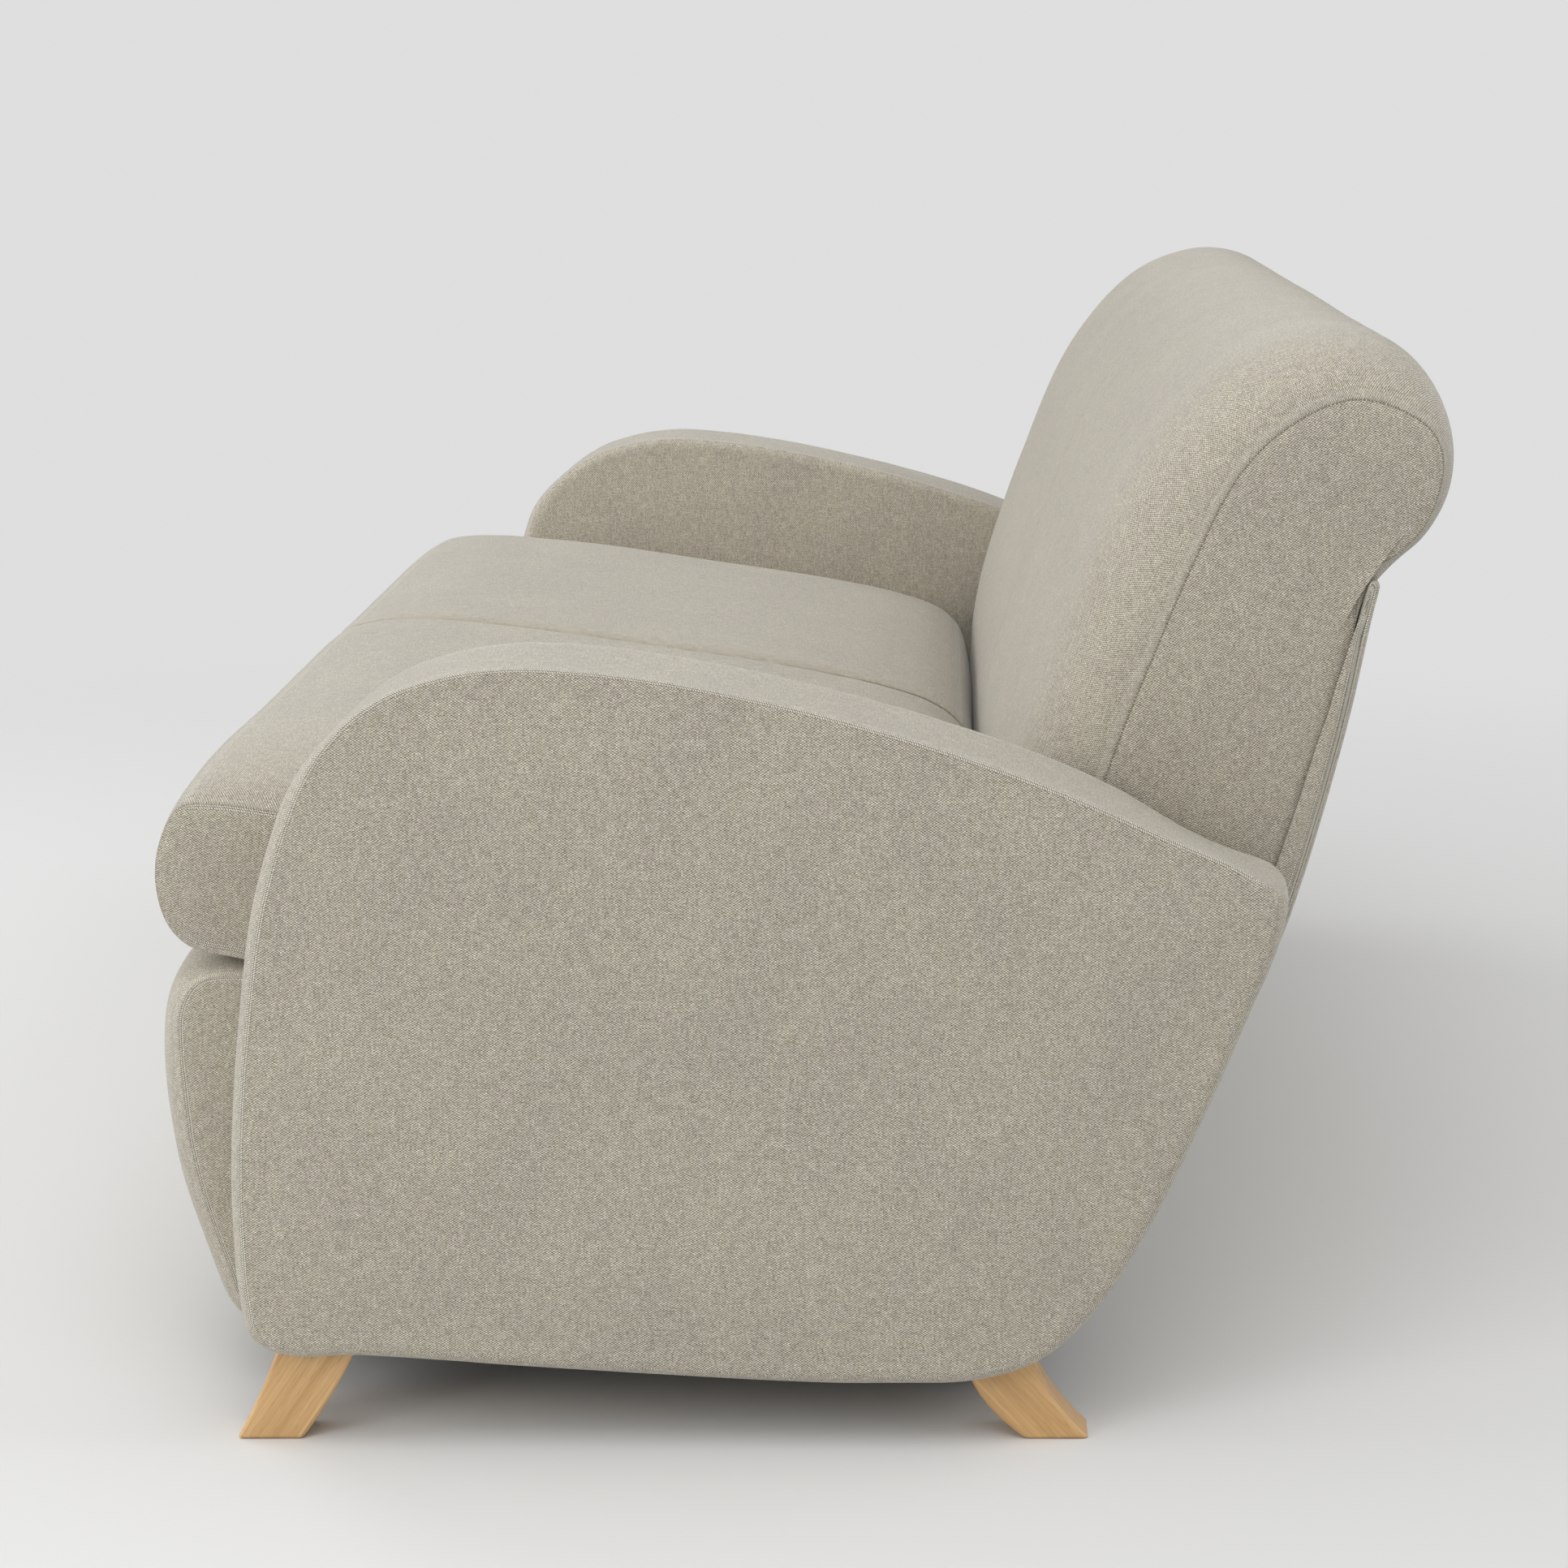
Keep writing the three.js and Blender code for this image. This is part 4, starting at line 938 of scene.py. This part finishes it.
# Padded front rail
front = {
    "counts": (16, 40), "corners": ((0.45, 0), (1, 0), (1, 1), (0.4, 1)),
    "dome": (1.6 * mm, 30 * mm), "round": 108 * mm, "panel": 2 * mm, "middleSteps": 46,
    "grow": 0.4 * mm, "ring": 89 * mm, "seamInset": 0.5 * mm, "insetFrom": -440 * mm, "insetTo": -400 * mm,
    "wrap": 14 * mm, "wrapFrom": -400 * mm, "wrapTo": -380 * mm, "rests": 20 * mm,
    "pulls": [(-400, 70, 90, 10, 0), (-455, 220, 150, 2.5, 0)],
    "seamPulls": [(-400, 70, 90, 12, 2), (-455, 200, 150, 3, 0)],
    "relief": [(0, 1.2, -0.3), (-3.5, 2.0, 0.15), (3.5, 2.0, 0.15)],
    "cloth": drape(1.6, 160, 0.4, 45, 0.8, 16, 16),
}


def frontCover():
    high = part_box("front_rail_pad")[1]
    seamX = high.x - front["panel"]

    def sectionAt(x):
        return laidOut(sectionOf("front_rail_pad", x), front)

    middle = pulled(sectionAt(high.x - front["ring"]), front["pulls"])
    seam = pulled(sectionAt(seamX), front["seamPulls"])
    facing = 1 - eased(seam[:, :1], front["insetFrom"], front["insetTo"])
    seam = moved(seam, -front["seamInset"] * facing)
    # the cloth of the end turns back over the end of the rail
    wrapBack = front["wrap"] * eased(seam[:, :1], front["wrapFrom"], front["wrapTo"])
    wrapped = seam + wrapBack * np.array([[1, 0]])
    fromX = seamX - front["round"]
    right = endStations(middle, seam, fromX, seamX, tuck=tuckedIn[:3])
    right = right[:-2] + [(x, loop - seam + wrapped) for x, loop in right[-2:]]
    stations, seams = joined(front, middle, right)
    skin, sewn = cover(front, stations, seams)
    restsAt = high.z - front["rests"]

    def calm(point):
        return rising(restsAt - point.z, 0, front["rests"])

    sewCover(front, skin, sewn, calm=calm)
    finished("front_rail_cover", skin, "frame", ["front_rail_pad"])


frontCover()
print("front rail covered")

# Outer back: a thin padded panel down the back, its edge showing beside the back's side panel
outerBack = {
    "thick": 10 * mm, "proud": 1.5 * mm, "counts": (63, 6), "middleSteps": 40, "hemDrop": 4 * mm,
    "soften": 13, "turn": (30, 60, 90, 120, 150), "frontShare": 0.25,
    # distance from the end, and how far the outline is drawn in there
    "edge": [(16, 0), (8, 0), (4.6, 0.25), (2.6, 0.8), (1.2, 1.7), (0.3, 3.1), (0, 4.6)],
    "dome": (0.4 * mm, 4 * mm),
    "pulls": [(412, 600, 70, -5, 0), (340, 380, 120, 3.5, -1)],
    "relief": [(0, 1.0, -0.4), (3.2, 1.6, 0.3)],
    "cloth": drape(0.8, 350, 0.2, 60, 0.4, 16, 12),
}


def rearLine(node, count):
    # the panel's outer face from its hem up, evened out
    low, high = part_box(node)
    rearmost = {}
    for vert in nodes[node].data.vertices:
        level = round(vert.co.z, 4)
        rearmost[level] = max(vert.co.y, rearmost.get(level, low.y))
    levels = sorted(rearmost)
    heights = np.linspace(low.z, high.z - outerBack["hemDrop"], count)
    places = np.interp(heights, levels, [rearmost[level] for level in levels])
    padded = np.pad(places, outerBack["soften"] // 2, mode="reflect", reflect_type="odd")
    places = np.convolve(padded, np.ones(outerBack["soften"]) / outerBack["soften"], "valid")
    return pulled(np.column_stack([places, heights]), outerBack["pulls"])


def outerBackCover():
    node = "outer_back_panel"
    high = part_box(node)[1]
    line = rearLine(node, outerBack["counts"][0] + 1)
    slope = np.gradient(line, axis=0)
    slope /= np.hypot(*slope.T)[:, None]
    outwards = np.column_stack([slope[:, 1], -slope[:, 0]])
    rear = line + outwards * outerBack["proud"]
    inside = rear - outwards * outerBack["thick"]

    def capped(end, out, up):
        angles = [math.radians(angle) for angle in outerBack["turn"]]
        centre, radius = (rear[end] + inside[end]) / 2, outerBack["thick"] / 2
        return [centre + (out * math.cos(a) + up * math.sin(a)) * radius for a in angles]

    top, hem = capped(-1, outwards[-1], slope[-1]), capped(0, -outwards[0], -slope[0])
    loop = np.vstack([rear, top, inside[::-1], hem])
    facing = eased(normalsOf(loop)[:, :1], -0.5, 0.5)
    share = outerBack["frontShare"] + (1 - outerBack["frontShare"]) * facing
    right = [(high.x - inset * mm, moved(loop, -drop * mm * share)) for inset, drop in outerBack["edge"]]
    stations = joined(outerBack, loop, right)[0]
    skin, sewn = cover(outerBack, stations, [0, len(stations) - 1], back["lean"])
    sewCover(outerBack, skin, sewn)
    finished("outer_back_cover", skin, "frame", [node])


outerBackCover()
print("outer back covered")

# Deck under the cushions: thick felt pulled over the springs
deck = {
    "counts": (60, 4), "corners": ((0, 0.93), (1, 0), (1, 0.07), (0, 1)), "grow": 0.2 * mm, "soften": 3 * mm,
    "edge": [(9, 0), (5, 0.2), (2.4, 0.9), (0.8, 2.4), (0, 4.5)], "middleSteps": 48,
    "dome": (0.3 * mm, 5 * mm),
    "relief": [(14, 1.2, -0.8)],
    "cloth": drape(0.9, 120, 0.3, 40, 0.3, 20, 12),
}


def deckCover():
    node = "seat_deck_pad"
    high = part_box(node)[1]
    vertices = nodes[node].data.vertices
    corners = np.unique([[round(value, 4) for value in vert.co[1:]] for vert in vertices], axis=0)
    gaps = corners - corners.mean(0)
    corners = corners[np.argsort(np.arctan2(gaps[:, 1], gaps[:, 0]))]
    loop = blurred(evened(corners), deck["soften"])
    starts = [int(np.argmin(np.hypot(*(loop - corner).T))) for corner in corners]
    loop = laidOut(np.roll(loop, -min(starts), axis=0), deck)
    right = [(high.x - inset * mm, moved(loop, -drop * mm)) for inset, drop in deck["edge"]]
    stations = joined(deck, loop, right)[0]
    skin, sewn = cover(deck, stations, [0, len(stations) - 1])
    sewCover(deck, skin, sewn)
    finished("seat_deck_cover", skin, "frame", [node], feltFinish)


deckCover()
print("deck covered")

# Feet: the frame's tapered legs with their long edges rounded
foot = {
    "merge": 0.05 * mm, "onSide": 0.2 * mm, "flat": math.radians(0.5), "sharp": math.radians(30),
    "rounding": 3.2 * mm, "segments": 4,
}


def footForm(node):
    low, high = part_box(node)
    leg = bmesh.new()
    leg.from_mesh(nodes[node].data)
    bmesh.ops.remove_doubles(leg, verts=leg.verts, dist=foot["merge"])
    bmesh.ops.dissolve_limit(leg, angle_limit=foot["flat"], verts=leg.verts, edges=leg.edges)
    onSide = {vert for vert in leg.verts if min(vert.co.x - low.x, high.x - vert.co.x) < foot["onSide"]}
    sharp = [edge for edge in leg.edges if edge.calc_face_angle(0) > foot["sharp"]]
    edges = [edge for edge in sharp if set(edge.verts) <= onSide]
    bmesh.ops.bevel(leg, geom=edges, offset=foot["rounding"], segments=foot["segments"], profile=0.5,
                    affect="EDGES", material=-1, clamp_overlap=True)
    piece = finished(node.replace("foot_", "leg_"), leg, "frame", [node], oakFinish, 0)
    piece.modifiers.new("shading", "WEIGHTED_NORMAL").keep_sharp = True


for end in ("front", "rear"):
    for side in sides:
        footForm(f"foot_{end}_{side}")
print("feet finished")

# Floor: pale near the sofa, and fading into the background further out
studio = {
    "tone": (0.757, 0.757, 0.754), "radius": 9, "fadeFrom": 1.25, "fadeTo": 3.2, "fadeCentre": (0.4, -0.35),
}


def floor():
    pale = Finish("floor", roughness=0.9, Specular_IOR_Level=0.1)
    pale.shader.inputs["Base Color"].default_value = (*studio["tone"], 1)
    x, y = pale.split(pale.place())[:2]
    east, north = x - studio["fadeCentre"][0], y - studio["fadeCentre"][1]
    far = ((east * east + north * north) ** 0.5).between(studio["fadeFrom"], studio["fadeTo"])
    clear = pale.node("ShaderNodeBsdfTransparent")
    shown = pale.node("ShaderNodeMixShader", None, {0: far, 1: Wire(pale, pale.shader.outputs[0]), 2: clear})
    pale.tree.links.new(shown.socket, pale.tree.nodes["Material Output"].inputs["Surface"])
    disk = bmesh.new()
    bmesh.ops.create_circle(disk, cap_ends=True, segments=64, radius=studio["radius"])
    mesh = bpy.data.meshes.new("floor")
    disk.to_mesh(mesh)
    disk.free()
    ground = placed("floor", mesh)
    mesh.materials.append(pale.material)


floor()

# Soft studio light, with a brighter background for the camera and for reflections
lights = {
    "world": 0.465, "background": 0.735, "aim": (0, 0, 0.4),
    # each lamp's place, size and power
    "lamps": {
        "near": ((3.0, -2.6, 1.6), 1.6, 25), "rear": ((3.6, 1.2, 2.6), 2.4, 10),
        "above": ((0, 0, 4.2), 4.5, 11), "behind": ((0.5, 3.0, 3.2), 2.6, 31),
        "far": ((-1.8, -2.6, 2.4), 2.0, 25), "high": ((3.6, -0.4, 4.6), 3.0, 33),
        "top": ((2.2, 0.2, 4.4), 3.0, 34), "front": ((0.2, -4.2, 1.6), 3.0, 45),
    },
}


def lightStudio():
    world = bpy.data.worlds.new("studio")
    world.use_nodes = True
    tree = world.node_tree
    rays = tree.nodes.new("ShaderNodeLightPath").outputs
    seen = rays["Is Camera Ray"]
    for kind in ("Is Glossy Ray", "Is Transmission Ray"):
        either = tree.nodes.new("ShaderNodeMath")
        either.operation = "MAXIMUM"
        tree.links.new(seen, either.inputs[0])
        tree.links.new(rays[kind], either.inputs[1])
        seen = either.outputs[0]
    level = tree.nodes.new("ShaderNodeMapRange")
    level.inputs["To Min"].default_value = lights["world"]
    level.inputs["To Max"].default_value = lights["background"]
    tree.links.new(seen, level.inputs["Value"])
    tree.links.new(level.outputs["Result"], tree.nodes["Background"].inputs["Strength"])
    tree.nodes["Background"].inputs["Color"].default_value = (1, 1, 1, 1)
    bpy.context.scene.world = world
    for name, (place, size, power) in lights["lamps"].items():
        light = bpy.data.lights.new(name, "AREA")
        light.energy = power
        light.shape = "DISK"
        light.size = size
        holder = placed(name, light)
        holder.location = place
        towards = Vector(lights["aim"]) - Vector(place)
        holder.rotation_euler = towards.to_track_quat("-Z", "Y").to_euler()
        holder.visible_camera = False


lightStudio()
bpy.context.scene.view_settings.view_transform = "Standard"
print("studio lit")
